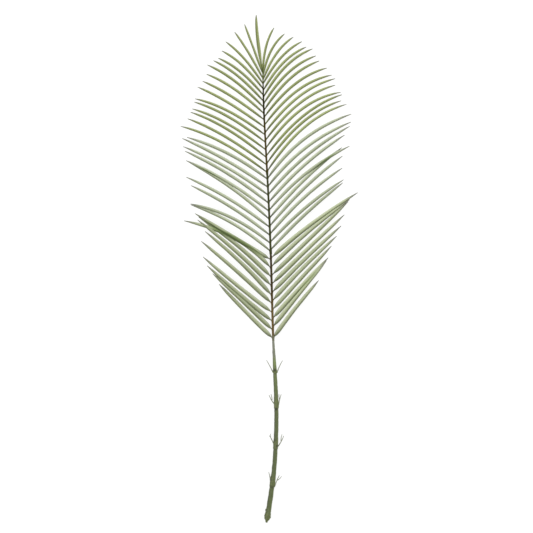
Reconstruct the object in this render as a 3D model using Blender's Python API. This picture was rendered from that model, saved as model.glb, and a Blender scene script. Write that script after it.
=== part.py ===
"""A palm frond lying flat: three runs of folded leaflets along one rachis, and a jointed stalk.

Metres, +Z up. The frond lies along Y with its tip at +Y, its upper face looks up, and the
origin is on the surface it lies on, under the middle of its box.
"""

import math
import random
from collections import namedtuple

import bmesh
import bpy
from mathutils import Vector

MM = 0.001
SEAT_GAP = 0.3 * MM

# The rachis and the stalk share one centre line. Each point is x, y and height in mm, from the
# end of the rachis down to the butt of the stalk. BOX_MIDDLE is the middle of the whole frond's
# box in the same mm, which centre_at takes away.
CENTRE_LINE = (
    (-13.0, 468.0, 12.0),
    (-10.6, 380.0, 18.5),
    (-6.8, 303.0, 22.5),
    (0.7, 161.5, 27.0),
    (6.4, 20.0, 28.0),
    (11.8, -168.5, 22.5),
    (15.8, -244.0, 19.5),
    (19.1, -324.0, 16.3),
    (18.4, -395.0, 13.4),
    (13.7, -474.0, 10.4),
    (5.2, -541.0, 7.4),
    (-4.1, -600.2, 6.0),
)
BOX_MIDDLE = (0.8, -0.3)

# The rachis: its radius in mm at each y in mm, and the collar at the lower end of a section
RACHIS_RADIUS = ((468, 1.0), (455, 1.3), (400, 1.6), (220, 1.8), (33, 2.0), (-170, 2.2))
RACHIS_SIDES = 8
RACHIS_STEP = 28 * MM
COLLAR_GROWTH = 0.6 * MM
COLLAR_LENGTH = 9 * MM
COLLAR_TAPER = 4 * MM

# A leaflet is a blade folded along its midrib, with the ridge up, rolled a little so that its
# half towards the frond's tip lies flatter than the other.
BLADE_THICKNESS = 0.9 * MM
FOOT_WIDTH = 2.3 * MM
FOOT_THICKNESS = 1.8 * MM
TIP_WIDTH = 1.4 * MM
FOLD = math.radians(30)
ROLL = math.radians(16)
ARCH = 0.05
TIP_CLEARANCE = (1.2 * MM, 4.0 * MM)
TURN_SCATTER = math.radians(0.5)
LENGTH_SCATTER = 0.008
ROLL_SCATTER = math.radians(5)

# outline gives how full the blade is at each share of its length, from the foot on the centre
# line. widths are those of a row's first leaflet and of its leaflets further down. bow_point is
# the share of the chord where the blade bends most.
Blade = namedtuple("Blade", "outline widths bow_point")
SLENDER = (
    (0.0, 0.0),
    (0.03, 0.18),
    (0.08, 0.56),
    (0.2, 0.95),
    (0.42, 1.0),
    (0.65, 0.97),
    (0.8, 0.82),
    (0.9, 0.52),
)
BROAD = (
    (0.0, 0.0),
    (0.035, 0.0),
    (0.08, 0.62),
    (0.14, 0.92),
    (0.25, 1.0),
    (0.42, 0.92),
    (0.65, 0.79),
    (0.8, 0.68),
    (0.9, 0.45),
)
TIP_BLADE = Blade(SLENDER, (6.4 * MM, 7.5 * MM), 0.6)
MIDDLE_BLADE = Blade(SLENDER, (8.9 * MM, 8.9 * MM), 0.5)
LOWER_BLADE = Blade(BROAD, (12.3 * MM, 12.3 * MM), 0.42)

# One row is the leaflets on one side of a section, counted from the frond's tip. root is y in
# mm where a leaflet leaves the rachis, length is in mm, lean is the chord's angle in degrees
# from square to the rachis towards the tip, and bow is the chord's sag as a share of its length.
# Each is a line through (leaflet, value) points. The own values set a leaflet apart from the
# row's even fan: extra degrees, extra mm, extra bow, and the tip's height in mm.
Row = namedtuple("Row", "side count root length lean bow own_turn own_length own_bow own_tip")
LEFT, RIGHT = -1, 1
TIP_ROWS = (
    Row(
        side=LEFT,
        count=16,
        root=((0, 460), (3, 423), (8, 350), (15, 226)),
        length=((0, 122), (2, 131), (4, 141), (9, 185), (14, 217), (15, 233)),
        lean=((0, 68.6), (1, 57.3), (2, 47.6), (3, 40.8), (6, 36.1), (9, 30.4), (15, 28)),
        bow=((0, 0.015), (2, 0.05), (3, 0.065), (8, 0.042), (15, 0.052)),
        own_turn={
            0: 1.0, 1: 1.4, 2: 1.2, 3: 2.2, 4: 0.3, 5: 2.2, 6: 0.8, 7: 0.9, 8: -0.2, 9: 1.0,
            10: -2.6, 12: -0.2, 13: 1.9, 14: 1.7, 15: -0.2,
        },
        own_length={
            0: 3, 1: 4, 2: 3.5, 3: -3, 4: -2, 5: 4, 6: 9, 7: -2.5, 8: -2.5, 9: 1.5, 10: -3.5,
            11: -2.5, 12: -4,
        },
        own_bow={
            0: -0.016, 1: -0.013, 2: -0.006, 3: -0.007, 4: -0.001, 5: -0.004, 6: -0.002, 7: 0.001,
            8: -0.01, 9: -0.015, 10: 0.007, 12: -0.001, 13: -0.004, 14: -0.014, 15: -0.001,
        },
        own_tip={11: 0.0},
    ),
    Row(
        side=RIGHT,
        count=16,
        root=((0, 463), (3, 435), (8, 356), (15, 228)),
        length=((0, 110), (1, 114), (4, 148), (9, 199), (15, 248)),
        lean=((0, 75), (1, 60.5), (2, 52.7), (4, 45), (8, 38.7), (12, 38.3), (15, 40.5)),
        bow=((0, 0.06), (1, 0.1), (2, 0.09), (15, 0.095)),
        own_turn={
            0: 0.7, 1: 2.2, 2: 2.1, 3: -0.6, 4: 1.1, 5: 1.7, 6: 1.2, 7: 2.3, 8: -0.4, 9: -1.8,
            10: -0.8, 11: 0.6, 12: -1.4, 13: 0.3, 14: 0.7, 15: 0.1,
        },
        own_length={4: -2.5, 5: 6, 6: 2, 7: -2, 10: 3, 11: -4, 14: -7},
        own_bow={
            0: 0.006, 1: -0.011, 2: -0.011, 3: -0.012, 4: -0.007, 5: -0.003, 6: -0.004, 7: -0.009,
            8: -0.006, 9: 0.001, 10: -0.006, 11: -0.007, 12: 0.008, 13: -0.016, 14: -0.01,
            15: -0.004,
        },
        own_tip={11: 0.0},
    ),
)
MIDDLE_ROWS = (
    Row(
        side=LEFT,
        count=10,
        root=((0, 210), (9, 40)),
        length=((0, 214), (1, 232), (5, 236), (9, 219)),
        lean=((0, 28), (3, 32), (7, 32), (9, 30.7)),
        bow=((0, 0.055), (1, 0.037), (7, 0.038), (9, 0.053)),
        own_turn={
            0: -0.7, 1: 1.0, 2: -0.6, 3: 0.1, 4: -0.2, 5: 3.0, 6: -0.6, 7: 0.7, 8: -5.3, 9: 0.1,
        },
        own_length={0: 1.5, 4: -5, 5: 3, 7: -5.5, 8: -13},
        own_bow={
            0: -0.006, 1: -0.01, 2: -0.001, 3: -0.002, 4: -0.002, 5: -0.002, 6: -0.003, 7: -0.004,
            8: 0.02, 9: 0.002,
        },
        own_tip={4: 7.0, 8: 7.5},
    ),
    Row(
        side=RIGHT,
        count=10,
        root=((0, 211), (9, 43.5)),
        length=((0, 251), (3, 241), (9, 230)),
        lean=((0, 37.2), (3, 41), (9, 42.8)),
        bow=((0, 0.09), (2, 0.054), (3, 0.043), (9, 0.033)),
        own_turn={
            0: 0.3, 1: -0.9, 2: 0.2, 3: 0.4, 4: -2.5, 5: 3.1, 6: 2.6, 7: 0.1, 8: -1.7, 9: 0.1,
        },
        own_length={0: 1.5, 1: 1, 2: 6, 4: 3.5, 5: 4, 6: 3.5, 8: -3.5, 9: 3},
        own_bow={
            0: -0.006, 1: -0.002, 2: -0.005, 3: -0.002, 4: 0.015, 5: -0.009, 6: -0.005, 7: 0.004,
            8: 0.001, 9: -0.007,
        },
        own_tip={4: 8.0, 8: 7.0},
    ),
)
LOWER_ROWS = (
    Row(
        side=LEFT,
        count=10,
        root=((0, 20.5), (3, -42), (4, -64.5), (5, -83), (8, -145.5), (9, -165)),
        length=((0, 208), (1, 231), (3, 232), (5, 219), (8, 196), (9, 177)),
        lean=((0, 31.4), (2, 38.9), (4, 44.6), (6, 39.0), (7, 40.8), (9, 44.5)),
        bow=((0, 0.03), (4, 0.03), (5, 0.012), (9, 0.015)),
        own_turn={0: -0.5, 1: -6.7, 2: 0.9, 3: 0.4, 4: -0.8, 6: -0.8, 7: -1.0, 8: 0.2, 9: 0.2},
        own_length={0: 1.5, 1: 6, 2: -8, 3: 4, 4: -7, 5: 3, 8: -2, 9: 3},
        own_bow={
            0: -0.03, 1: 0.06, 2: 0.002, 3: -0.006, 4: -0.003, 6: -0.02, 7: -0.019, 8: -0.008,
            9: -0.02,
        },
        own_tip={0: 9.0, 1: 1.5, 2: 5.5, 3: 9.0, 4: 12.5, 6: 2.0, 7: 5.0, 8: 8.0},
    ),
    Row(
        side=RIGHT,
        count=10,
        root=((0, 24), (8, -138), (9, -164)),
        length=((0, 258), (1, 243), (2, 249), (5, 215), (9, 173)),
        lean=((0, 37.8), (1, 40.6), (2, 43.2), (4, 44.2), (9, 52)),
        bow=((0, 0.02),),
        own_turn={
            0: -0.5, 1: 0.2, 2: 1.0, 3: 0.4, 4: -0.6, 5: -0.9, 6: -0.5, 7: -1.9, 8: 0.7, 9: 0.1,
        },
        own_length={0: 1, 1: 2.5, 2: 2, 4: 3, 5: 2, 6: 1.5, 8: 19},
        own_bow={
            0: 0.007, 1: 0.005, 2: -0.019, 3: -0.013, 4: -0.006, 5: -0.001, 6: -0.014, 7: -0.011,
            8: -0.013, 9: -0.003,
        },
        own_tip={0: 2.0, 1: 6.0, 2: 9.5, 7: 2.0, 8: 5.0},
    ),
)

# The terminal leaflet carries the rachis's line on past its end.
LATE = ((0.0, 0.0), (0.06, 0.0), (0.16, 0.36), (0.28, 0.85), (0.42, 1.0), (0.68, 0.83), (0.9, 0.42))
TERMINAL_BLADE = Blade(LATE, (9.2 * MM, 9.2 * MM), 0.6)
TERMINAL_ROOT = 462.0 * MM
TERMINAL_LENGTH = 138.5 * MM
TERMINAL_LEAN = math.radians(96.5)
TERMINAL_BOW = -0.021
TERMINAL_CLEARANCE = 2.0 * MM

# A section is one length of rachis with its leaflets: from upper to lower, as y in mm.
Section = namedtuple("Section", "name upper lower collar blade rows")
SECTIONS = (
    Section("tip_leaflets", 468.0, 220.0, True, TIP_BLADE, TIP_ROWS),
    Section("middle_leaflets", 220.0, 33.0, True, MIDDLE_BLADE, MIDDLE_ROWS),
    Section("lower_leaflets", 33.0, -170.0, False, LOWER_BLADE, LOWER_ROWS),
)

# The stalk. Each node is a scar and the swelling above it, which dies out towards the frond's
# tip: the scar's y, the swelling's length, its radius, and the stalk's radius at the scar, in mm.
Node = namedtuple("Node", "scar length swelling waist")
STALK_SIDES = 12
NODES = (
    Node(-247.0, 16.0, 5.0, 4.5),
    Node(-331.0, 32.0, 5.9, 4.8),
    Node(-427.0, 30.0, 6.1, 5.0),
    Node(-516.5, 34.0, 6.5, 5.5),
)
# Down the swelling, as shares of its length above the scar: how far it has swollen there, and
# how far it is waisted
SWELLING = (
    (1.0, 0.05, 0.0),
    (0.65, 0.55, 0.0),
    (0.35, 1.0, 0.0),
    (0.12, 0.75, 0.0),
    (0.0, 0.0, 1.0),
    (-0.2, 0.0, 0.4),
)
INTERNODE_SHARES = (0.0, 0.3, 0.6, 0.9)
INTERNODE_CLEAR = 8.0
INTERNODE_RADIUS = (
    (-170, 2.5),
    (-196, 3.1),
    (-212, 3.8),
    (-242, 4.3),
    (-262, 4.6),
    (-330, 4.9),
    (-427, 5.1),
    (-516, 5.6),
    (-568, 6.0),
)
# The butt as (y, radius) in mm, and the small knob on its left: y, distance aside and radius
BUTT = ((-574.0, 6.4), (-580.0, 7.5), (-589.0, 7.5), (-592.0, 5.6), (-595.0, 3.6), (-600.0, 1.8))
BUTT_KNOB = (-570.5, 5.6, 2.3)
KNOB_SHARES = (-0.95, -0.6, 0.0, 0.6, 0.95)
KNOB_STRETCH = 1.4

# The spurs, what is left of old leaf stalks. lean is degrees from the stalk towards the side,
# reach is mm. A fork leaves the first prong at a share of its reach.
Spur = namedtuple("Spur", "node side above_scar lean reach fork_at fork_lean fork_reach")
SPURS = (
    Spur(0, LEFT, 2.5, 26.0, 33.0, None, 0.0, 0.0),
    Spur(0, RIGHT, 1.5, 26.5, 32.5, None, 0.0, 0.0),
    Spur(1, LEFT, 13.0, 29.0, 24.0, 0.40, 9.0, 15.0),
    Spur(1, RIGHT, 10.0, 15.0, 26.0, 0.42, -5.0, 15.0),
    Spur(2, LEFT, 15.0, 29.5, 21.0, 0.42, 12.5, 16.0),
    Spur(2, RIGHT, 7.5, 26.0, 29.0, 0.53, 6.5, 16.5),
    Spur(3, LEFT, 16.5, 18.0, 21.0, None, 0.0, 0.0),
    Spur(3, RIGHT, 1.0, 15.0, 30.5, 0.58, 42.0, 14.5),
)
SPUR_SIDES = 6
SPUR_SEAT = 0.9
SPUR_RISE = 0.12
FORK_RISE = 0.2
SPUR_RADIUS = ((0.0, 1.6), (0.2, 1.2), (0.6, 1.05), (1.0, 0.7))
PRONG_RADIUS = ((0.0, 1.0), (0.4, 0.95), (1.0, 0.65))

SEED = 38
SMOOTH_ANGLE = math.radians(35)
# Colour and roughness of each piece
FINISHES = {
    "tip_leaflets": ((0.34, 0.40, 0.15, 1.0), 0.55),
    "middle_leaflets": ((0.38, 0.43, 0.29, 1.0), 0.58),
    "lower_leaflets": ((0.28, 0.34, 0.17, 1.0), 0.55),
    "stalk": ((0.16, 0.20, 0.08, 1.0), 0.50),
}


def clear_scene():
    for obj in list(bpy.data.objects):
        bpy.data.objects.remove(obj, do_unlink=True)


def along(points, at):
    """The value at this place of the line through (place, value) points, in either order."""
    points = sorted(points)
    if at <= points[0][0]:
        return points[0][1]
    for (start, low), (end, high) in zip(points, points[1:]):
        if at <= end:
            return low + (high - low) * (at - start) / (end - start)
    return points[-1][1]


def centre_at(y):
    """The centre line's point at this y, on a smooth curve through CENTRE_LINE. Metres."""
    points = [Vector(point) * MM for point in CENTRE_LINE]
    last = len(points) - 2
    index = 0
    while index < last and y < points[index + 1].y:
        index += 1
    before, start = points[max(index - 1, 0)], points[index]
    end, after = points[index + 1], points[min(index + 2, last + 1)]
    span = end.y - start.y
    start_slope = (end - before) * span / (end.y - before.y)
    end_slope = (after - start) * span / (after.y - start.y)
    share = (y - start.y) / span
    square, cube = share**2, share**3
    point = (2 * cube - 3 * square + 1) * start + (3 * square - 2 * cube) * end
    point += (cube - 2 * square + share) * start_slope + (cube - square) * end_slope
    return Vector((point.x - BOX_MIDDLE[0] * MM, y - BOX_MIDDLE[1] * MM, point.z))


def direction_at(y):
    """The way that the centre line runs at this y, towards the frond's tip."""
    step = 0.5 * MM
    return (centre_at(y + step) - centre_at(y - step)).normalized()


def closed_object(name, rings, faces):
    """An object of these rings' points and these faces, which are turned to point out."""
    body = bmesh.new()
    points = [body.verts.new(point) for ring in rings for point in ring]
    for face in faces:
        body.faces.new([points[corner] for corner in face])
    bmesh.ops.recalc_face_normals(body, faces=body.faces)
    mesh = bpy.data.meshes.new(name)
    body.to_mesh(mesh)
    body.free()
    obj = bpy.data.objects.new(name, mesh)
    bpy.context.scene.collection.objects.link(obj)
    return obj


def tube(name, rings):
    """A closed skin over rings of equally many points, with a flat end on the first and last."""
    sides = len(rings[0])
    faces = [tuple(range(sides))]
    for ring in range(len(rings) - 1):
        low = ring * sides
        for side in range(sides):
            corner, beside = low + side, low + (side + 1) % sides
            faces.append((corner, beside, beside + sides, corner + sides))
    end = sides * (len(rings) - 1)
    faces.append(tuple(range(end, end + sides)))
    return closed_object(name, rings, faces)


def round_ring(centre, ahead, radius, sides):
    """Points round a centre, square to the way ahead."""
    across = ahead.cross(Vector((0, 0, 1))).normalized()
    up = across.cross(ahead)
    turns = [2 * math.pi * side / sides for side in range(sides)]
    return [centre + radius * (math.cos(turn) * across + math.sin(turn) * up) for turn in turns]


def rachis(section):
    """A section's length of rachis, with its collar. A seat gap parts it from its neighbours."""
    upper = section.upper * MM
    if section is not SECTIONS[0]:
        upper -= SEAT_GAP / 2
    lower = section.lower * MM + SEAT_GAP / 2
    stations = [(lower, 0.0)]
    if section.collar:
        top = lower + COLLAR_LENGTH
        stations = [(lower, COLLAR_GROWTH), (top, COLLAR_GROWTH), (top + COLLAR_TAPER, 0.0)]
    start = stations[-1][0]
    steps = round((upper - start) / RACHIS_STEP)
    stations += [(start + (upper - start) * step / steps, 0.0) for step in range(1, steps + 1)]
    rings = []
    for y, growth in stations:
        radius = along(RACHIS_RADIUS, y / MM) * MM + growth
        rings.append(round_ring(centre_at(y), direction_at(y), radius, RACHIS_SIDES))
    return tube(section.name, rings)


def blade_ring(centre, ahead, outward, breadth, thickness, roll):
    """Upper edge, ridge and lower edge on the upper face, then the same points underneath.

    Seen from above, the edges lie evenly on either side of the centre.
    """
    across = ahead.cross(Vector((0, 0, 1))).normalized()
    if across.dot(outward) < 0:
        across.negate()
    up = across.cross(ahead)
    if up.z < 0:
        up.negate()
    rolled_across = math.cos(roll) * across + math.sin(roll) * up
    rolled_up = math.cos(roll) * up - math.sin(roll) * across
    half = breadth / 2 * math.cos(FOLD) * rolled_across
    drop = breadth / 2 * math.sin(FOLD) * rolled_up
    below = -thickness * rolled_up
    ridge = centre + Vector((drop.x, drop.y, 0.0))
    upper, lower = ridge + half - drop, ridge - half - drop
    return [upper, ridge, lower, lower + below, ridge + below, upper + below]


def blade_solid(name, rings):
    """A closed blade, split into triangles alike on its upper face and its lower one."""
    sides = len(rings[0])
    ends = ((0, 1, 4, 5), (1, 2, 3, 4))
    last = sides * (len(rings) - 1)
    faces = [tuple(start + corner for corner in end) for start in (0, last) for end in ends]
    for ring in range(len(rings) - 1):
        near, far = sides * ring, sides * (ring + 1)
        for first, second in ((0, 1), (1, 2), (5, 4), (4, 3)):
            faces.append((near + first, near + second, far + second))
            faces.append((near + first, far + second, far + first))
        for first, second in ((2, 3), (5, 0)):
            faces.append((near + first, near + second, far + second, far + first))
    return closed_object(name, rings, faces)


def leaflet(name, root, tip, bow, blade, width, roll):
    """One folded blade from the centre line to its tip. tip's height is its lowest point's."""
    chord = Vector((tip.x - root.x, tip.y - root.y, 0.0))
    outward = Vector((-chord.y, chord.x, 0.0)).normalized()
    if outward.y < 0:
        outward.negate()
    bend = blade.bow_point * chord + 2 * bow * chord.length * outward
    arch = 4 * ARCH * chord.length
    rings = []
    shares = []
    for share, fullness in (*blade.outline, (1.0, None)):
        rest = 1 - share
        centre = root + 2 * share * rest * bend + share**2 * chord
        centre.z += (tip.z - root.z) * share + arch * share * rest
        ahead = 2 * (rest - share) * bend + 2 * share * chord
        ahead.z = tip.z - root.z + arch * (rest - share)
        if fullness is None:
            breadth, bladed = TIP_WIDTH, 1.0
        else:
            breadth = FOOT_WIDTH + (width - FOOT_WIDTH) * fullness
            bladed = min(1.0, 2 * fullness)
        thickness = FOOT_THICKNESS + (BLADE_THICKNESS - FOOT_THICKNESS) * bladed
        # The foot is centred on the rachis, and the blade hangs from its ridge.
        centre.z += thickness / 2 * (1 - bladed)
        rings.append(blade_ring(centre, ahead.normalized(), outward, breadth, thickness, roll * bladed))
        shares.append(share)
    short = tip.z - min(point.z for point in rings[-1])
    for ring, share in zip(rings, shares):
        for point in ring:
            point.z += short * share**2
    return blade_solid(name, rings)


def leaflet_row(section, row, draw):
    """The leaflets on one side of a section, from the frond's tip down."""
    made = []
    first_width, width_below = section.blade.widths
    for number in range(row.count):
        turn = draw.uniform(-TURN_SCATTER, TURN_SCATTER)
        stretch = 1 + draw.uniform(-LENGTH_SCATTER, LENGTH_SCATTER)
        roll = ROLL + draw.uniform(-ROLL_SCATTER, ROLL_SCATTER)
        clearance = draw.uniform(*TIP_CLEARANCE)
        if number in row.own_tip:
            clearance = row.own_tip[number] * MM
        lean = math.radians(along(row.lean, number) + row.own_turn.get(number, 0.0)) + turn
        bow = along(row.bow, number) + row.own_bow.get(number, 0.0)
        width = along(((0, first_width), (row.count / 3, width_below)), number)
        root = centre_at(along(row.root, number) * MM)
        reach = Vector((row.side * math.cos(lean), math.sin(lean), 0.0))
        length = along(row.length, number) * stretch + row.own_length.get(number, 0.0)
        tip = root + length * MM * reach
        tip.z = clearance
        name = f"{section.name}_{row.side}_{number}"
        made.append(leaflet(name, root, tip, bow, section.blade, width, roll))
    return made


def terminal_leaflet():
    root = centre_at(TERMINAL_ROOT)
    reach = Vector((math.cos(TERMINAL_LEAN), math.sin(TERMINAL_LEAN), 0.0))
    tip = root + TERMINAL_LENGTH * reach
    tip.z = TERMINAL_CLEARANCE
    width = TERMINAL_BLADE.widths[0]
    return leaflet("terminal", root, tip, TERMINAL_BOW, TERMINAL_BLADE, width, 0.0)


def fuse(base, others):
    """The base and the others as one solid: one Boolean union on a collection, applied."""
    group = bpy.data.collections.new(base.name)
    bpy.context.scene.collection.children.link(group)
    for obj in others:
        group.objects.link(obj)
        bpy.context.scene.collection.objects.unlink(obj)
    union = base.modifiers.new("Union", "BOOLEAN")
    union.operation = "UNION"
    union.operand_type = "COLLECTION"
    union.solver = "EXACT"
    union.collection = group
    bpy.context.view_layer.objects.active = base
    bpy.ops.object.modifier_apply(modifier=union.name)
    for obj in others:
        bpy.data.objects.remove(obj, do_unlink=True)
    bpy.data.collections.remove(group)


def leaf_section(section, draw):
    base = rachis(section)
    blades = [terminal_leaflet()] if section is SECTIONS[0] else []
    for row in section.rows:
        blades += leaflet_row(section, row, draw)
    fuse(base, blades)
    return base


def stalk_stations():
    """(y, radius) down the stalk in mm: each internode, the swelling and scar below it, the butt."""
    stations = []
    start = SECTIONS[-1].lower - SEAT_GAP / MM / 2
    for node in NODES:
        for share in INTERNODE_SHARES:
            y = start + (node.scar + node.length - start) * share
            stations.append((y, along(INTERNODE_RADIUS, y)))
        for share, swollen, waisted in SWELLING:
            y = node.scar + node.length * share
            plain = along(INTERNODE_RADIUS, y)
            radius = plain + (node.swelling - plain) * swollen + (node.waist - plain) * waisted
            stations.append((y, radius))
        start = y - INTERNODE_CLEAR
    for share in INTERNODE_SHARES:
        y = start + (BUTT[0][0] + INTERNODE_CLEAR - start) * share
        stations.append((y, along(INTERNODE_RADIUS, y)))
    return stations + list(BUTT)


def straight_prong(name, start, ahead, reach, radii):
    places = [(start + ahead * (reach * share), radius * MM) for share, radius in radii]
    return tube(name, [round_ring(place, ahead, radius, SPUR_SIDES) for place, radius in places])


def spur_way(y, aside, lean, rise):
    """The way that leans off the stalk at this y, rising a little."""
    turn = math.radians(lean)
    level = (math.cos(turn) * direction_at(y) + math.sin(turn) * aside).normalized()
    return (level + Vector((0.0, 0.0, rise))).normalized()


def spurs():
    made = []
    for number, spur in enumerate(SPURS):
        node = NODES[spur.node]
        y = (node.scar + spur.above_scar) * MM
        aside = Vector((spur.side, 0.0, 0.0))
        start = centre_at(y) + aside * (node.swelling * SPUR_SEAT * MM)
        ahead = spur_way(y, aside, spur.lean, SPUR_RISE)
        reach = spur.reach * MM
        made.append(straight_prong(f"spur_{number}", start, ahead, reach, SPUR_RADIUS))
        if spur.fork_at is not None:
            fork = start + ahead * (reach * spur.fork_at)
            ahead = spur_way(y, aside, spur.fork_lean, FORK_RISE)
            reach = spur.fork_reach * MM
            made.append(straight_prong(f"prong_{number}", fork, ahead, reach, PRONG_RADIUS))
    return made


def butt_knob():
    y, aside, radius = (value * MM for value in BUTT_KNOB)
    centre = centre_at(y) + Vector((-aside, 0.0, 0.0))
    way = Vector((0.0, -1.0, 0.0))
    rings = []
    for share in KNOB_SHARES:
        middle = centre + way * (share * KNOB_STRETCH * radius)
        rings.append(round_ring(middle, way, radius * math.sqrt(1 - share**2), SPUR_SIDES))
    return tube("butt_knob", rings)


def stalk():
    rings = []
    for y, radius in stalk_stations():
        ring = round_ring(centre_at(y * MM), direction_at(y * MM), radius * MM, STALK_SIDES)
        # The butt lies on the surface, so its underside is pressed flat.
        rings.append([Vector((point.x, point.y, max(point.z, 0.0))) for point in ring])
    base = tube("stalk", rings)
    fuse(base, [*spurs(), butt_knob()])
    return base


def finish(obj):
    colour, roughness = FINISHES[obj.name]
    material = bpy.data.materials.new(obj.name)
    material.use_nodes = True
    shader = material.node_tree.nodes["Principled BSDF"]
    shader.inputs["Base Color"].default_value = colour
    shader.inputs["Roughness"].default_value = roughness
    shader.inputs["Metallic"].default_value = 0.0
    obj.data.materials.clear()
    obj.data.materials.append(material)
    obj.data.shade_smooth()
    obj.data.set_sharp_from_angle(angle=SMOOTH_ANGLE)


def main():
    clear_scene()
    draw = random.Random(SEED)
    for section in SECTIONS:
        finish(leaf_section(section, draw))
    finish(stalk())


main()
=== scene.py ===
"""A palm frond lying flat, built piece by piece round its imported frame.

Metres, +Z up. The frond lies along Y with its tip at +Y and its upper face up, and every piece
follows the same centre line and the same rows of leaflets as the frame's solids.
"""

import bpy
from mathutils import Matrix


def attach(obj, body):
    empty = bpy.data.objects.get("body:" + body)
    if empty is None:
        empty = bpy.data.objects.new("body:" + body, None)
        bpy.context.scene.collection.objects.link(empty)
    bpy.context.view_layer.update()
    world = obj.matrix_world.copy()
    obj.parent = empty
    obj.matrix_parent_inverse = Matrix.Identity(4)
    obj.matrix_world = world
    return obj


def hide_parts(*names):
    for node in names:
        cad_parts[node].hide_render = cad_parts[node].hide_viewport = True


bl_info = {
    "name": "Palm frond",
    "version": (1, 0, 0),
    "blender": (4, 5, 0),
    "location": "3D View > Sidebar > Frond",
    "description": "Folded leaflets, rachis, jointed stalk, spurs and a studio stage",
    "category": "Add Mesh",
}

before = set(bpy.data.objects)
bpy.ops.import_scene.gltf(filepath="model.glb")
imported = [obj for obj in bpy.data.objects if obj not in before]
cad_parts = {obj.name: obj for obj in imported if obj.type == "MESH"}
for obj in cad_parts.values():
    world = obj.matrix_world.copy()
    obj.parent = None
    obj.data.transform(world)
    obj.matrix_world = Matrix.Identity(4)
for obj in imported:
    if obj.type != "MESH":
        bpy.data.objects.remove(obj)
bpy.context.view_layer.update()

import math
import random
from collections import namedtuple

import bmesh
import bpy
from bpy.props import FloatProperty, FloatVectorProperty, IntProperty, PointerProperty
from mathutils import Vector, noise
from mathutils.bvhtree import BVHTree

MM = 0.001
BODY = "root"
# The hairline between two joined lengths of rachis
SEAT_GAP = 0.04 * MM

# The rachis and the stalk share one centre line. Each point is x, y and height in mm, from the
# end of the rachis down to the butt of the stalk. BOX_MIDDLE is the middle of the whole frond's
# box in the same mm, which centre_at takes away.
CENTRE_LINE = (
    (-13.0, 468.0, 12.0), (-10.6, 380.0, 18.5), (-6.8, 303.0, 22.5), (0.7, 161.5, 27.0),
    (6.4, 20.0, 28.0), (11.8, -168.5, 22.5), (15.8, -244.0, 19.5), (19.1, -324.0, 16.3),
    (18.4, -395.0, 13.4), (13.7, -474.0, 10.4), (5.2, -541.0, 7.4), (-4.1, -600.2, 6.0),
)
BOX_MIDDLE = (0.8, -0.3)

# The rachis: its radius in mm at each y in mm, and the collar at the lower end of a section
RACHIS_RADIUS = ((468, 1.0), (455, 1.3), (400, 1.6), (220, 1.8), (33, 2.0), (-170, 2.2))
# How much slimmer the rachis gets towards its top end
TOP_TAPER = ((468, 0.72), (440, 0.8), (390, 1.0))
COLLAR_GROWTH = 0.6 * MM
COLLAR_LENGTH = 9 * MM
COLLAR_TAPER = 4 * MM
# The collar's lower rim is this share of it, and rounds off over this length.
COLLAR_RIM = 0.55
COLLAR_ROUNDING = 1.2 * MM

# A leaflet is a blade folded along its midrib, with the ridge up, rolled a little so that its
# half towards the frond's tip lies flatter than the other.
BLADE_THICKNESS = 0.9 * MM
FOOT_WIDTH = 2.8 * MM
FOOT_THICKNESS = 1.8 * MM
TIP_WIDTH = 1.4 * MM
FOLD = math.radians(30)
ROLL = math.radians(16)
ARCH = 0.05
TIP_CLEARANCE = (1.2 * MM, 4.0 * MM)
TURN_SCATTER = math.radians(0.5)
LENGTH_SCATTER = 0.008
ROLL_SCATTER = math.radians(5)

# outline gives how full the blade is at each share of its length, from the foot on the centre
# line. widths are those of a row's first leaflet and of its leaflets further down. bow_point is
# the share of the chord where the blade bends most.
Blade = namedtuple("Blade", "outline widths bow_point")
SLENDER = (
    (0.0, 0.0), (0.03, 0.18), (0.08, 0.56), (0.2, 0.95), (0.42, 1.0), (0.65, 0.97), (0.8, 0.82),
    (0.9, 0.52),
)
BROAD = (
    (0.0, 0.0), (0.035, 0.0), (0.08, 0.62), (0.14, 0.92), (0.25, 1.0), (0.42, 0.92), (0.65, 0.79),
    (0.8, 0.68), (0.9, 0.45),
)
TIP_BLADE = Blade(SLENDER, (6.4 * MM, 7.5 * MM), 0.6)
MIDDLE_BLADE = Blade(SLENDER, (8.9 * MM, 8.9 * MM), 0.5)
LOWER_BLADE = Blade(BROAD, (12.3 * MM, 12.3 * MM), 0.42)

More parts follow.
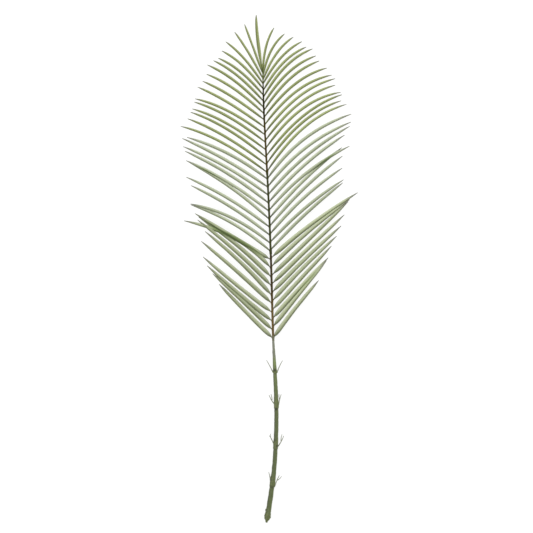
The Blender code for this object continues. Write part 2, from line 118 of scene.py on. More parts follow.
# One row is the leaflets on one side of a section, counted from the frond's tip. root is y in
# mm where a leaflet leaves the rachis, length is in mm, lean is the chord's angle in degrees
# from square to the rachis towards the tip, and bow is the chord's sag as a share of its length.
# Each is a line through (leaflet, value) points. The own values set a leaflet apart from the
# row's even fan: extra degrees, extra mm, extra bow, and the tip's height in mm.
Row = namedtuple("Row", "side count root length lean bow own_turn own_length own_bow own_tip")
LEFT, RIGHT = -1, 1
TIP_ROWS = (
    Row(
        side=LEFT,
        count=16,
        root=((0, 460), (3, 423), (8, 350), (15, 226)),
        length=((0, 122), (2, 131), (4, 141), (9, 185), (14, 217), (15, 233)),
        lean=((0, 68.6), (1, 57.3), (2, 47.6), (3, 40.8), (6, 36.1), (9, 30.4), (15, 28)),
        bow=((0, 0.015), (2, 0.05), (3, 0.065), (8, 0.042), (15, 0.052)),
        own_turn={
            0: 1.0, 1: 1.4, 2: 1.2, 3: 2.2, 4: 0.3, 5: 2.2, 6: 0.8, 7: 0.9, 8: -0.2, 9: 1.0,
            10: -2.6, 12: -0.2, 13: 1.9, 14: 1.7, 15: -0.2,
        },
        own_length={
            0: 3, 1: 4, 2: 3.5, 3: -3, 4: -2, 5: 4, 6: 9, 7: -2.5, 8: -2.5, 9: 1.5, 10: -3.5,
            11: -2.5, 12: -4,
        },
        own_bow={
            0: -0.016, 1: -0.013, 2: -0.006, 3: -0.007, 4: -0.001, 5: -0.004, 6: -0.002, 7: 0.001,
            8: -0.01, 9: -0.015, 10: 0.007, 12: -0.001, 13: -0.004, 14: -0.014, 15: -0.001,
        },
        own_tip={11: 0.0},
    ),
    Row(
        side=RIGHT,
        count=16,
        root=((0, 463), (3, 435), (8, 356), (15, 228)),
        length=((0, 110), (1, 114), (4, 148), (9, 199), (15, 248)),
        lean=((0, 75), (1, 60.5), (2, 52.7), (4, 45), (8, 38.7), (12, 38.3), (15, 40.5)),
        bow=((0, 0.06), (1, 0.1), (2, 0.09), (15, 0.095)),
        own_turn={
            0: 0.7, 1: 2.2, 2: 2.1, 3: -0.6, 4: 1.1, 5: 1.7, 6: 1.2, 7: 2.3, 8: -0.4, 9: -1.8,
            10: -0.8, 11: 0.6, 12: -1.4, 13: 0.3, 14: 0.7, 15: 0.1,
        },
        own_length={4: -2.5, 5: 6, 6: 2, 7: -2, 10: 3, 11: -4, 14: -7},
        own_bow={
            0: 0.006, 1: -0.011, 2: -0.011, 3: -0.012, 4: -0.007, 5: -0.003, 6: -0.004, 7: -0.009,
            8: -0.006, 9: 0.001, 10: -0.006, 11: -0.007, 12: 0.008, 13: -0.016, 14: -0.01,
            15: -0.004,
        },
        own_tip={11: 0.0},
    ),
)
MIDDLE_ROWS = (
    Row(
        side=LEFT,
        count=10,
        root=((0, 210), (9, 40)),
        length=((0, 214), (1, 232), (5, 236), (9, 219)),
        lean=((0, 28), (3, 32), (7, 32), (9, 30.7)),
        bow=((0, 0.055), (1, 0.037), (7, 0.038), (9, 0.053)),
        own_turn={
            0: -0.7, 1: 1.0, 2: -0.6, 3: 0.1, 4: -0.2, 5: 3.0, 6: -0.6, 7: 0.7, 8: -5.3, 9: 0.1,
        },
        own_length={0: 1.5, 4: -5, 5: 3, 7: -5.5, 8: -13},
        own_bow={
            0: -0.006, 1: -0.01, 2: -0.001, 3: -0.002, 4: -0.002, 5: -0.002, 6: -0.003, 7: -0.004,
            8: 0.02, 9: 0.002,
        },
        own_tip={4: 7.0, 8: 7.5},
    ),
    Row(
        side=RIGHT,
        count=10,
        root=((0, 211), (9, 43.5)),
        length=((0, 251), (3, 241), (9, 230)),
        lean=((0, 37.2), (3, 41), (9, 42.8)),
        bow=((0, 0.09), (2, 0.054), (3, 0.043), (9, 0.033)),
        own_turn={
            0: 0.3, 1: -0.9, 2: 0.2, 3: 0.4, 4: -2.5, 5: 3.1, 6: 2.6, 7: 0.1, 8: -1.7, 9: 0.1,
        },
        own_length={0: 1.5, 1: 1, 2: 6, 4: 3.5, 5: 4, 6: 3.5, 8: -3.5, 9: 3},
        own_bow={
            0: -0.006, 1: -0.002, 2: -0.005, 3: -0.002, 4: 0.015, 5: -0.009, 6: -0.005, 7: 0.004,
            8: 0.001, 9: -0.007,
        },
        own_tip={4: 8.0, 8: 7.0},
    ),
)
LOWER_ROWS = (
    Row(
        side=LEFT,
        count=10,
        root=((0, 20.5), (3, -42), (4, -64.5), (5, -83), (8, -145.5), (9, -165)),
        length=((0, 208), (1, 231), (3, 232), (5, 219), (8, 196), (9, 177)),
        lean=((0, 31.4), (2, 38.9), (4, 44.6), (6, 39.0), (7, 40.8), (9, 44.5)),
        bow=((0, 0.03), (4, 0.03), (5, 0.012), (9, 0.015)),
        own_turn={0: -0.5, 1: -6.7, 2: 0.9, 3: 0.4, 4: -0.8, 6: -0.8, 7: -1.0, 8: 0.2, 9: 0.2},
        own_length={0: 1.5, 1: 6, 2: -8, 3: 4, 4: -7, 5: 3, 8: -2, 9: 3},
        own_bow={
            0: -0.03, 1: 0.06, 2: 0.002, 3: -0.006, 4: -0.003, 6: -0.02, 7: -0.019, 8: -0.008,
            9: -0.02,
        },
        own_tip={0: 9.0, 1: 1.5, 2: 5.5, 3: 9.0, 4: 12.5, 6: 2.0, 7: 5.0, 8: 8.0},
    ),
    Row(
        side=RIGHT,
        count=10,
        root=((0, 24), (8, -138), (9, -164)),
        length=((0, 258), (1, 243), (2, 249), (5, 215), (9, 173)),
        lean=((0, 37.8), (1, 40.6), (2, 43.2), (4, 44.2), (9, 52)),
        bow=((0, 0.02),),
        own_turn={
            0: -0.5, 1: 0.2, 2: 1.0, 3: 0.4, 4: -0.6, 5: -0.9, 6: -0.5, 7: -1.9, 8: 0.7, 9: 0.1,
        },
        own_length={0: 1, 1: 2.5, 2: 2, 4: 3, 5: 2, 6: 1.5, 8: 19},
        own_bow={
            0: 0.007, 1: 0.005, 2: -0.019, 3: -0.013, 4: -0.006, 5: -0.001, 6: -0.014, 7: -0.011,
            8: -0.013, 9: -0.003,
        },
        own_tip={0: 2.0, 1: 6.0, 2: 9.5, 7: 2.0, 8: 5.0},
    ),
)

# The terminal leaflet carries the rachis's line on past its end.
LATE = (
    (0.0, 0.0), (0.06, 0.0), (0.16, 0.36), (0.28, 0.85), (0.42, 1.0), (0.68, 0.83), (0.9, 0.42),
)
TERMINAL_BLADE = Blade(LATE, (9.2 * MM, 9.2 * MM), 0.6)
TERMINAL_ROOT = 462.0 * MM
TERMINAL_LENGTH = 138.5 * MM
TERMINAL_LEAN = math.radians(96.5)
TERMINAL_BOW = -0.021
TERMINAL_CLEARANCE = 2.0 * MM

# A section is one length of rachis with its leaflets: from upper to lower, as y in mm.
Section = namedtuple("Section", "name upper lower collar blade rows")
SECTIONS = (
    Section("tip_leaflets", 468.0, 220.0, True, TIP_BLADE, TIP_ROWS),
    Section("middle_leaflets", 220.0, 33.0, True, MIDDLE_BLADE, MIDDLE_ROWS),
    Section("lower_leaflets", 33.0, -170.0, False, LOWER_BLADE, LOWER_ROWS),
)

# The stalk. Each node is a scar and the swelling above it, which dies out towards the frond's
# tip: the scar's y, the swelling's length, its radius, and the stalk's radius at the scar, in mm.
Node = namedtuple("Node", "scar length swelling waist")
NODES = (
    Node(-247.0, 16.0, 5.0, 4.5),
    Node(-331.0, 32.0, 5.9, 4.8),
    Node(-427.0, 30.0, 6.1, 5.0),
    Node(-516.5, 34.0, 6.5, 5.5),
)
# Down the swelling, as shares of its length above the scar: how far it has swollen there, and
# how far it is waisted
SWELLING = (
    (1.0, 0.05, 0.0), (0.65, 0.55, 0.0), (0.35, 1.0, 0.0), (0.12, 0.75, 0.0), (0.0, 0.0, 1.0),
    (-0.2, 0.0, 0.4),
)
INTERNODE_SHARES = (0.0, 0.3, 0.6, 0.9)
INTERNODE_CLEAR = 8.0
INTERNODE_RADIUS = (
    (-170, 2.5), (-196, 3.1), (-212, 3.8), (-242, 4.3), (-262, 4.6), (-330, 4.9), (-427, 5.1),
    (-516, 5.6), (-568, 6.0),
)
# The butt as (y, radius) in mm, and the small knob on its left: y, distance aside and radius
BUTT = ((-574.0, 6.4), (-580.0, 7.5), (-589.0, 7.5), (-592.0, 5.6), (-595.0, 3.6), (-600.0, 1.8))
BUTT_KNOB = (-570.5, 5.6, 2.3)
KNOB_STRETCH = 1.4
KNOB_UNEVENNESS = 0.22

# The spurs, what is left of old leaf stalks. lean is degrees from the stalk towards the side,
# reach is mm. A fork leaves the first prong at a share of its reach.
Spur = namedtuple("Spur", "node side above_scar lean reach fork_at fork_lean fork_reach")
SPURS = (
    Spur(0, LEFT, 2.5, 26.0, 33.0, None, 0.0, 0.0),
    Spur(0, RIGHT, 1.5, 26.5, 32.5, None, 0.0, 0.0),
    Spur(1, LEFT, 13.0, 29.0, 24.0, 0.40, 9.0, 15.0),
    Spur(1, RIGHT, 10.0, 15.0, 26.0, 0.42, -5.0, 15.0),
    Spur(2, LEFT, 15.0, 29.5, 21.0, 0.42, 12.5, 16.0),
    Spur(2, RIGHT, 7.5, 26.0, 29.0, 0.53, 6.5, 16.5),
    Spur(3, LEFT, 16.5, 18.0, 21.0, None, 0.0, 0.0),
    Spur(3, RIGHT, 1.0, 15.0, 30.5, 0.58, 42.0, 14.5),
)
SPUR_SEAT = 0.9
SPUR_RISE = 0.12
FORK_RISE = 0.2
SPUR_FLATTENING = 0.25
SPUR_RADIUS = ((0.0, 1.3), (0.2, 1.2), (0.6, 1.05), (1.0, 0.7))
PRONG_RADIUS = ((0.0, 1.0), (0.4, 0.95), (1.0, 0.65))

SEED = 38
SMOOTH_ANGLE = math.radians(35)

# How finely a leaflet is made: rings along it, and points across each face from its lower edge
BLADE_RINGS = 44
BLADE_POINTS = 21
RING_CROWDING = 1.2
# The relief of a leaflet. Shares are of half its breadth, and heights are real sizes.
RIDGE_ROUNDING = 0.08
MIDRIB_SHARE = 0.09
SIDE_RIB_AT = 0.52
SIDE_RIB_SHARE = 0.07
SIDE_RIB_HEIGHT = 0.12 * MM
KEEL_HEIGHT = 0.35 * MM
EDGE_THINNING = 0.45
RIPPLE_LENGTH = 46 * MM
TWIST = math.radians(4)
# Another leaflet this near above or below puts painted shade on the one that it covers.
COVER_REACH = 40 * MM
COVER_START = 1.2 * MM

RACHIS_FINE_SIDES = 24
RACHIS_FINE_STEP = 1.5 * MM
CUSHION_REACH = 2.4 * MM
RACHIS_GROOVE = 0.18 * MM
RACHIS_GROOVE_WIDTH = 0.45

# The sockets of the node that mixes two colours
MIX_SHARE, MIX_FIRST, MIX_SECOND, MIX_RESULT = 0, 6, 7, 2

STALK_FINE_SIDES = 40
STALK_FINE_STEP = 1.0 * MM
STALK_RIDGES = 11
RIDGE_WANDER = 3
# The radius at a place is the mean of those this many mm off along the stalk.
RADIUS_OFFSETS = (-0.8, -0.4, 0.0, 0.4, 0.8)
# How long the bark's lumps and the butt's knobs are, and over what length the knobs set in
LUMP_LENGTH = 9 * MM
KNOB_LENGTH = 5 * MM
KNOB_ONSET = 8 * MM
# Below this radius the relief fades out
FULL_RELIEF_RADIUS = 3 * MM
SCAR_DEPTH = 0.3 * MM
SCAR_LIP = 0.3 * MM
SCAR_REACH = 1.3 * MM
RING_DARKNESS = 0.35
# The dark spots at the nodes: y in mm, how many degrees round from the stalk's right, darkness
SCAR_SPOTS = (
    (-239.0, 95.0, 1.25), (-331.0, 98.0, 1.25), (-405.0, 120.0, 0.6), (-418.0, 45.0, 0.9),
    (-499.0, 165.0, 1.1), (-515.0, 85.0, 0.6),
)
SPOT_REACH = 3.2 * MM
SPOT_SPREAD = math.radians(34)
BUTT_TOP = -568 * MM
BUTT_BULGE = -588 * MM
SPUR_FINE_SIDES = 12
SPUR_RINGS = 16

Leaflet = namedtuple("Leaflet", "section name root tip bow blade width roll tint")

# How much darker the left leaflets are than the right ones
SIDE_TINTS = {"tip_leaflets": 0.2, "middle_leaflets": 0.05, "lower_leaflets": 0.3}
# How much darker the leaflets are, counted down from the frond's tip
TOP_TINT = ((0, 0.8), (4, 0.6), (9, 0.0))


def paint(red, green, blue):
    """A colour that is written as 0 to 255 on a screen, as the shader's linear values."""
    shares = (value / 255 for value in (red, green, blue))
    return tuple(v / 12.92 if v <= 0.04045 else ((v + 0.055) / 1.055) ** 2.4 for v in shares)


def along(points, at):
    """The value at this place of the line through (place, value) points, in either order."""
    points = sorted(points)
    if at <= points[0][0]:
        return points[0][1]
    for (start, low), (end, high) in zip(points, points[1:]):
        if at <= end:
            return low + (high - low) * (at - start) / (end - start)
    return points[-1][1]


def smooth_along(points, at):
    """As along, on a smooth curve through the points."""
    points = sorted(points)
    last = len(points) - 2
    index = 0
    while index < last and at > points[index + 1][0]:
        index += 1
    before, start = points[max(index - 1, 0)], points[index]
    end, after = points[index + 1], points[min(index + 2, last + 1)]
    span = end[0] - start[0]
    start_slope = (end[1] - before[1]) * span / (end[0] - before[0])
    end_slope = (after[1] - start[1]) * span / (after[0] - start[0])
    share = min(max((at - start[0]) / span, 0.0), 1.0)
    square, cube = share**2, share**3
    value = (2 * cube - 3 * square + 1) * start[1] + (3 * square - 2 * cube) * end[1]
    return value + (cube - 2 * square + share) * start_slope + (cube - square) * end_slope


def hump(distance, reach):
    """1 at no distance, falling away smoothly over this reach."""
    return math.exp(-((distance / reach) ** 2))


def centre_at(y):
    """The centre line's point at this y, on a smooth curve through CENTRE_LINE. Metres."""
    aside = smooth_along([(point[1] * MM, point[0] * MM) for point in CENTRE_LINE], y)
    height = smooth_along([(point[1] * MM, point[2] * MM) for point in CENTRE_LINE], y)
    return Vector((aside - BOX_MIDDLE[0] * MM, y - BOX_MIDDLE[1] * MM, height))


def direction_at(y):
    """The way that the centre line runs at this y, towards the frond's tip."""
    step = 0.5 * MM
    return (centre_at(y + step) - centre_at(y - step)).normalized()


def plan_leaflets():
    """Every leaflet, row by row from the frond's tip down, with the terminal one last."""
    draw = random.Random(SEED)
    hues = random.Random(SEED)
    plans = []
    for section in SECTIONS:
        first_width, width_below = section.blade.widths
        for row in section.rows:
            side = "left" if row.side == LEFT else "right"
            for number in range(row.count):
                turn = draw.uniform(-TURN_SCATTER, TURN_SCATTER)
                stretch = 1 + draw.uniform(-LENGTH_SCATTER, LENGTH_SCATTER)
                roll = ROLL + draw.uniform(-ROLL_SCATTER, ROLL_SCATTER)
                clearance = draw.uniform(*TIP_CLEARANCE)
                if number in row.own_tip:
                    clearance = row.own_tip[number] * MM
                lean = math.radians(along(row.lean, number) + row.own_turn.get(number, 0.0)) + turn
                bow = along(row.bow, number) + row.own_bow.get(number, 0.0)
                width = along(((0, first_width), (row.count / 3, width_below)), number)
                root = centre_at(along(row.root, number) * MM)
                reach = Vector((row.side * math.cos(lean), math.sin(lean), 0.0))
                length = along(row.length, number) * stretch + row.own_length.get(number, 0.0)
                tip = root + length * MM * reach
                tip.z = clearance
                name = f"{section.name[:-1]}_{side}_{number + 1:02}"
                tint = hues.uniform(-0.6, 0.6) - SIDE_TINTS[section.name] * row.side
                if section is SECTIONS[0]:
                    tint += along(TOP_TINT, number)
                plans.append(
                    Leaflet(section.name, name, root, tip, bow, section.blade, width, roll, tint)
                )
    root = centre_at(TERMINAL_ROOT)
    reach = Vector((math.cos(TERMINAL_LEAN), math.sin(TERMINAL_LEAN), 0.0))
    tip = root + TERMINAL_LENGTH * reach
    tip.z = TERMINAL_CLEARANCE
    width = TERMINAL_BLADE.widths[0]
    terminal = Leaflet(
        "tip_leaflets", "terminal_leaflet", root, tip, TERMINAL_BOW, TERMINAL_BLADE, width, 0.0, 0.6
    )
    return [*plans, terminal]


def mesh_object(name, points, faces, corners, material):
    """An object of these points and faces, turned to point out. corners is each corner's UV."""
    body = bmesh.new()
    made = [body.verts.new(point) for point in points]
    layer = body.loops.layers.uv.new("UVMap")
    for face, places in zip(faces, corners):
        polygon = body.faces.new([made[point] for point in face])
        for loop, place in zip(polygon.loops, places):
            loop[layer].uv = place
    bmesh.ops.recalc_face_normals(body, faces=body.faces)
    mesh = bpy.data.meshes.new(name)
    body.to_mesh(mesh)
    body.free()
    mesh.materials.append(material)
    mesh.shade_smooth()
    mesh.set_sharp_from_angle(angle=SMOOTH_ANGLE)
    obj = bpy.data.objects.new(name, mesh)
    bpy.context.scene.collection.objects.link(obj)
    return obj


def mark_points(obj, name, values):
    """A named number for each point of the object's mesh."""
    attribute = obj.data.attributes.new(name, "FLOAT", "POINT")
    attribute.data.foreach_set("value", values)


def short_name(node):
    """The section's own word in its node's name."""
    return node.removesuffix("_leaflets")


def seat(obj, node):
    """The piece rides with the frond and stands for this node's solid."""
    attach(obj, BODY)
    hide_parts(node)


def round_ring(centre, ahead, radii):
    """Points round a centre, square to the way ahead, with one radius each."""
    across = ahead.cross(Vector((0, 0, 1))).normalized()
    up = across.cross(ahead)
    ring = []
    for side, radius in enumerate(radii):
        turn = 2 * math.pi * side / len(radii)
        ring.append(centre + radius * (math.cos(turn) * across + math.sin(turn) * up))
    return ring


def tube(name, rings, material):
    """A closed skin over rings. Its UV runs round it, and along it from the first ring."""
    sides, steps = len(rings[0]), len(rings) - 1
    faces, corners = [], []
    for step in range(steps):
        for side in range(sides):
            low, beside = step * sides + side, step * sides + (side + 1) % sides
            faces.append((low, beside, beside + sides, low + sides))
            left, right = side / sides, (side + 1) / sides
            near, far = step / steps, (step + 1) / steps
            corners.append(((left, near), (right, near), (right, far), (left, far)))
    for start, place in ((0, 0.0), (steps * sides, 1.0)):
        faces.append(tuple(range(start, start + sides)))
        corners.append([(side / sides, place) for side in range(sides)])
    return mesh_object(name, [point for ring in rings for point in ring], faces, corners, material)


def blade_profile(across, thickness, bladed, looks):
    """How high the upper face stands over the folded blade here, and how thick the blade is."""
    inward = 1 - abs(across)
    relief = looks.midrib_height * hump(across, MIDRIB_SHARE)
    relief += SIDE_RIB_HEIGHT * hump(abs(across) - SIDE_RIB_AT, SIDE_RIB_SHARE)
    flat = thickness * (1 - EDGE_THINNING * across**4) + KEEL_HEIGHT * hump(across, MIDRIB_SHARE)
    rounded = thickness * math.sqrt(1.04 - across**2)
    depth = flat * bladed + rounded * (1 - bladed)
    rise = relief * bladed - (thickness - depth) / 2 * (1 - bladed)
    return rise + looks.camber * inward * abs(across) * 4 * thickness * bladed, depth


def blade_ring(plan, share, breadth, bladed, looks):
    """Points over the upper face from the lower edge to the upper, and back over the lower face."""
    chord = Vector((plan.tip.x - plan.root.x, plan.tip.y - plan.root.y, 0.0))
    outward = Vector((-chord.y, chord.x, 0.0)).normalized()
    if outward.y < 0:
        outward.negate()
    bend = plan.blade.bow_point * chord + 2 * plan.bow * chord.length * outward
    arch = 4 * ARCH * chord.length
    rest = 1 - share
    centre = plan.root + 2 * share * rest * bend + share**2 * chord
    centre.z += (plan.tip.z - plan.root.z) * share + arch * share * rest
    ahead = 2 * (rest - share) * bend + 2 * share * chord
    ahead.z = plan.tip.z - plan.root.z + arch * (rest - share)
    ahead.normalize()
    thickness = FOOT_THICKNESS + (BLADE_THICKNESS - FOOT_THICKNESS) * bladed
    centre.z += thickness / 2 * (1 - bladed)

    across_way = ahead.cross(Vector((0, 0, 1))).normalized()
    if across_way.dot(outward) < 0:
        across_way.negate()
    up = across_way.cross(ahead)
    if up.z < 0:
        up.negate()
    swell = math.sin(math.pi * share)
    phase = plan.tint * math.pi
    turn = (plan.roll + TWIST * swell * math.sin(2 * math.pi * share + phase)) * bladed
    level = math.cos(turn) * across_way + math.sin(turn) * up
    rise = math.cos(turn) * up - math.sin(turn) * across_way
    half = breadth / 2 * math.cos(looks.fold) * level
    drop = breadth / 2 * math.sin(looks.fold) * rise
    ridge = centre + Vector((drop.x, drop.y, 0.0))

    upper, lower = [], []
    for across in blade_places():
        fold = math.hypot(across, RIDGE_ROUNDING) - RIDGE_ROUNDING
        height, depth = blade_profile(across, thickness, bladed, looks)
        wave = 2 * math.pi * share * chord.length / RIPPLE_LENGTH + phase + across
        height += looks.ripple * across**2 * swell * math.sin(wave)
        point = ridge + across * half - fold * drop + height * rise
        upper.append(point)
        lower.append(point - depth * rise)
    return upper + lower[::-1]


def blade_places():
    """Places across a blade from its lower edge, -1, to its upper edge, 1."""
    last = BLADE_POINTS - 1
    return [2 * place / last - 1 for place in range(BLADE_POINTS)]


def leaflet(plan, material, looks):
    """One folded blade, from the rachis to its tip, which is as low as the plan says."""
    growth = plan.width - FOOT_WIDTH
    breadths = [(share, FOOT_WIDTH + growth * full) for share, full in plan.blade.outline]
    breadths.append((1.0, TIP_WIDTH))
    shares = [(step / BLADE_RINGS) ** RING_CROWDING for step in range(BLADE_RINGS + 1)]
    rings = []
    for share in shares:
        breadth = smooth_along(breadths, share)
        full = (breadth - FOOT_WIDTH) / growth
        bladed = 1.0 if share > 0.5 else min(max(2 * full, 0.0), 1.0)
        rings.append(blade_ring(plan, share, breadth, bladed, looks))
    short = plan.tip.z - min(point.z for point in rings[-1])
    for ring, share in zip(rings, shares):
        for point in ring:
            point.z += short * share**2

    places = [(across + 1) / 2 for across in blade_places()]
    around = places + places[::-1]
    size = len(around)
    faces, corners = [], []
    for step in range(BLADE_RINGS):
        for side in range(size):
            beside = (side + 1) % size
            low = step * size
            faces.append((low + side, low + beside, low + size + beside, low + size + side))
            near, far = shares[step], shares[step + 1]
            left, right = around[side], around[beside]
            corners.append(((left, near), (right, near), (right, far), (left, far)))
    for start, share in ((0, 0.0), (BLADE_RINGS * size, 1.0)):
        for side in range(BLADE_POINTS - 1):
            under = size - 1 - side
            faces.append((start + side, start + side + 1, start + under - 1, start + under))
            left, right = places[side], places[side + 1]
            corners.append(((left, share), (right, share), (right, share), (left, share)))
    points = [point for ring in rings for point in ring]
    obj = mesh_object(plan.name, points, faces, corners, material)
    mark_points(obj, "tint", [plan.tint] * len(points))
    under = [0.0] * BLADE_POINTS + [1.0] * BLADE_POINTS
    mark_points(obj, "underside", under * len(rings))
    seat(obj, plan.section)


def mark_covered(leaflets):
    """Marks the points of each leaflet that lie just over or under another leaflet, where painted
    shade goes.
    """
    trees = {}
    for obj in leaflets:
        polygons = [polygon.vertices[:] for polygon in obj.data.polygons]
        trees[obj.name] = BVHTree.FromPolygons([v.co for v in obj.data.vertices], polygons)
    boxes = {obj.name: plan_box(obj) for obj in leaflets}
    for obj in leaflets:
        box = boxes[obj.name]
        near = [other for other in leaflets if other != obj and meet(box, boxes[other.name])]
        near_trees = [trees[other.name] for other in near]
        covered = [is_covered(vertex.co, near_trees) for vertex in obj.data.vertices]
        mark_points(obj, "covered", spread(covered))


def plan_box(obj):
    """The leaflet's box seen from above: lowest x and y, highest x and y."""
    xs = [vertex.co.x for vertex in obj.data.vertices]
    ys = [vertex.co.y for vertex in obj.data.vertices]
    return min(xs), min(ys), max(xs), max(ys)


def meet(one, other):
    """Whether two boxes seen from above overlap."""
    return one[0] < other[2] and other[0] < one[2] and one[1] < other[3] and other[1] < one[3]


def is_covered(point, trees):
    """1 where a leaflet is just above or below the point, else 0."""
    for way in (Vector((0, 0, 1)), Vector((0, 0, -1))):
        for tree in trees:
            if tree.ray_cast(point + way * COVER_START, way, COVER_REACH)[0] is not None:
                return 1.0
    return 0.0


def spread(marks):
    """The marks evened out between each ring of a blade and the rings beside it."""
    size = 2 * BLADE_POINTS
    rings = [marks[start : start + size] for start in range(0, len(marks), size)]
    soft = []
    for index, ring in enumerate(rings):
        before, after = rings[max(index - 1, 0)], rings[min(index + 1, len(rings) - 1)]
        soft += [(a + 2 * b + c) / 4 for a, b, c in zip(before, ring, after)]
    return soft


def leaf_roots(section):
    """(side, y) of each leaflet's root on a section, in metres."""
    roots = []
    for row in section.rows:
        roots += [(row.side, along(row.root, number) * MM) for number in range(row.count)]
    return roots


def rachis(section, material, looks):
    """A section's length of rachis, with its collar and a cushion under each leaflet's foot."""
    upper = section.upper * MM
    if section is not SECTIONS[0]:
        upper -= SEAT_GAP / 2
    lower = section.lower * MM + SEAT_GAP / 2
    roots = leaf_roots(section)
    steps = round((upper - lower) / RACHIS_FINE_STEP)
    rings = []
    for step in range(steps + 1):
        y = lower + (upper - lower) * step / steps
        radius = along(RACHIS_RADIUS, y / MM) * MM * looks.fullness * along(TOP_TAPER, y / MM)
        if section.collar:
            radius += COLLAR_GROWTH * collar_share(y - lower)
        radii = []
        for side in range(RACHIS_FINE_SIDES):
            turn = 2 * math.pi * side / RACHIS_FINE_SIDES
            outer = radius - RACHIS_GROOVE * hump(turn - math.pi / 2, RACHIS_GROOVE_WIDTH)
            for row_side, root in roots:
                facing = max(0.0, row_side * math.cos(turn))
                cushion = hump(y - root - CUSHION_REACH, CUSHION_REACH)
                outer += looks.cushion_height * facing * cushion
            radii.append(outer)
        rings.append(round_ring(centre_at(y), direction_at(y), radii))
    seat(tube(f"{short_name(section.name)}_rachis", rings, material), section.name)


def collar_share(height):
    """How far the collar stands out at this height over its lower end, from 0 to 1."""
    rim = min(1.0, COLLAR_RIM + (1 - COLLAR_RIM) * height / COLLAR_ROUNDING)
    fade = min(max((COLLAR_LENGTH + COLLAR_TAPER - height) / COLLAR_TAPER, 0.0), 1.0)
    return rim * fade * fade * (3 - 2 * fade)


def stalk_stations():
    """(y, radius) in mm down the stalk: internodes, the swelling and scar below each, the butt."""
    stations = []
    start = SECTIONS[-1].lower - SEAT_GAP / MM / 2
    for joint in NODES:
        for share in INTERNODE_SHARES:
            y = start + (joint.scar + joint.length - start) * share
            stations.append((y, along(INTERNODE_RADIUS, y)))
        for share, swollen, waisted in SWELLING:
            y = joint.scar + joint.length * share
            plain = along(INTERNODE_RADIUS, y)
            radius = plain + (joint.swelling - plain) * swollen + (joint.waist - plain) * waisted
            stations.append((y, radius))
        start = y - INTERNODE_CLEAR
    for share in INTERNODE_SHARES:
        y = start + (BUTT[0][0] + INTERNODE_CLEAR - start) * share
        stations.append((y, along(INTERNODE_RADIUS, y)))
    return stations + list(BUTT)


def scar_relief(y):
    """The groove of the nearest scar and the lip above it, in metres off the stalk's radius."""
    relief = 0.0
    for joint in NODES:
        above = y - joint.scar * MM
        relief += SCAR_LIP * hump(above - 1.6 * SCAR_REACH, SCAR_REACH)
        relief -= SCAR_DEPTH * hump(above, SCAR_REACH)
    return relief


def near_scar(y, turn):
    """How dark the bark is here: a little in a scar's groove, and more on the spots round it."""
    ring = max(hump(y - joint.scar * MM, 1.6 * SCAR_REACH) for joint in NODES)
    spots = []
    for place, bearing, darkness in SCAR_SPOTS:
        beside = hump(turn - math.radians(bearing), SPOT_SPREAD)
        spots.append(darkness * hump(y - place * MM, SPOT_REACH) * beside)
    return max(RING_DARKNESS * ring, *spots)


def on_swelling(y):
    """1 at the fullest part of a swelling or of the butt, falling to 0 along the stalk."""
    humps = [hump(y - BUTT_BULGE, -BUTT_BULGE + BUTT_TOP)]
    for joint in NODES:
        middle = (joint.scar + 0.4 * joint.length) * MM
        humps.append(hump(y - middle, 0.45 * joint.length * MM))
    return max(humps)


def stalk(material, looks):
    """The jointed stalk: ridged internodes, swollen nodes with ring scars, and the knobbly butt."""
    stations = stalk_stations()
    top, bottom = stations[0][0] * MM, stations[-1][0] * MM
    steps = round((top - bottom) / STALK_FINE_STEP)
    rings, scars, swellings = [], [], []
    for step in range(steps + 1):
        y = top + (bottom - top) * step / steps
        offsets = RADIUS_OFFSETS if step < steps else (0.0,)
        radius = sum(along(stations, y / MM + offset) for offset in offsets) / len(offsets) * MM
        knobby = min(max((BUTT_TOP - y) / KNOB_ONSET, 0.0), 1.0)
        centre = centre_at(y)
        radii = []
        for side in range(STALK_FINE_SIDES):
            turn = 2 * math.pi * side / STALK_FINE_SIDES
            around = Vector((math.cos(turn), math.sin(turn), y / LUMP_LENGTH))
            wander = RIDGE_WANDER * noise.noise(around * 0.6)
            ridge = looks.ridge_height * math.sin(STALK_RIDGES * turn + wander)
            lump = looks.lump_height * noise.noise(around * 1.4)
            knob_place = Vector((around.x, around.y, y / KNOB_LENGTH)) * 1.7
            knob = looks.knob_height * knobby * noise.noise(knob_place)
            fine = min(1.0, radius / FULL_RELIEF_RADIUS)
            radii.append(radius + (ridge + lump + knob) * fine + scar_relief(y))
            scars.append(near_scar(y, turn))
        ring = round_ring(centre, direction_at(y), radii)
        rings.append([Vector((point.x, point.y, max(point.z, 0.0))) for point in ring])
        swellings += [on_swelling(y)] * STALK_FINE_SIDES
    obj = tube("stalk_body", rings, material)
    mark_points(obj, "scar", scars)
    mark_points(obj, "swelling", swellings)
    seat(obj, "stalk")


def butt_knob(material):
    """The small knob on the left of the butt, broken unevenly."""
    y, aside, radius = (value * MM for value in BUTT_KNOB)
    centre = centre_at(y) + Vector((-aside, 0.0, 0.0))
    way = Vector((0.0, -1.0, 0.0))
    rings = []
    for step in range(SPUR_RINGS + 1):
        share = 1.96 * step / SPUR_RINGS - 0.98
        middle = centre + way * (share * KNOB_STRETCH * radius)
        full = radius * math.sqrt(1 - share**2)
        radii = []
        for side in range(SPUR_FINE_SIDES):
            turn = 2 * math.pi * side / SPUR_FINE_SIDES
            lump = noise.noise(Vector((math.cos(turn), math.sin(turn), share * 2)))
            radii.append(full * (1 + KNOB_UNEVENNESS * lump))
        rings.append(round_ring(middle, way, radii))
    obj = tube("stalk_knob", rings, material)
    mark_points(obj, "scar", [0.6] * len(obj.data.vertices))
    mark_points(obj, "swelling", [0.5] * len(obj.data.vertices))
    seat(obj, "stalk")


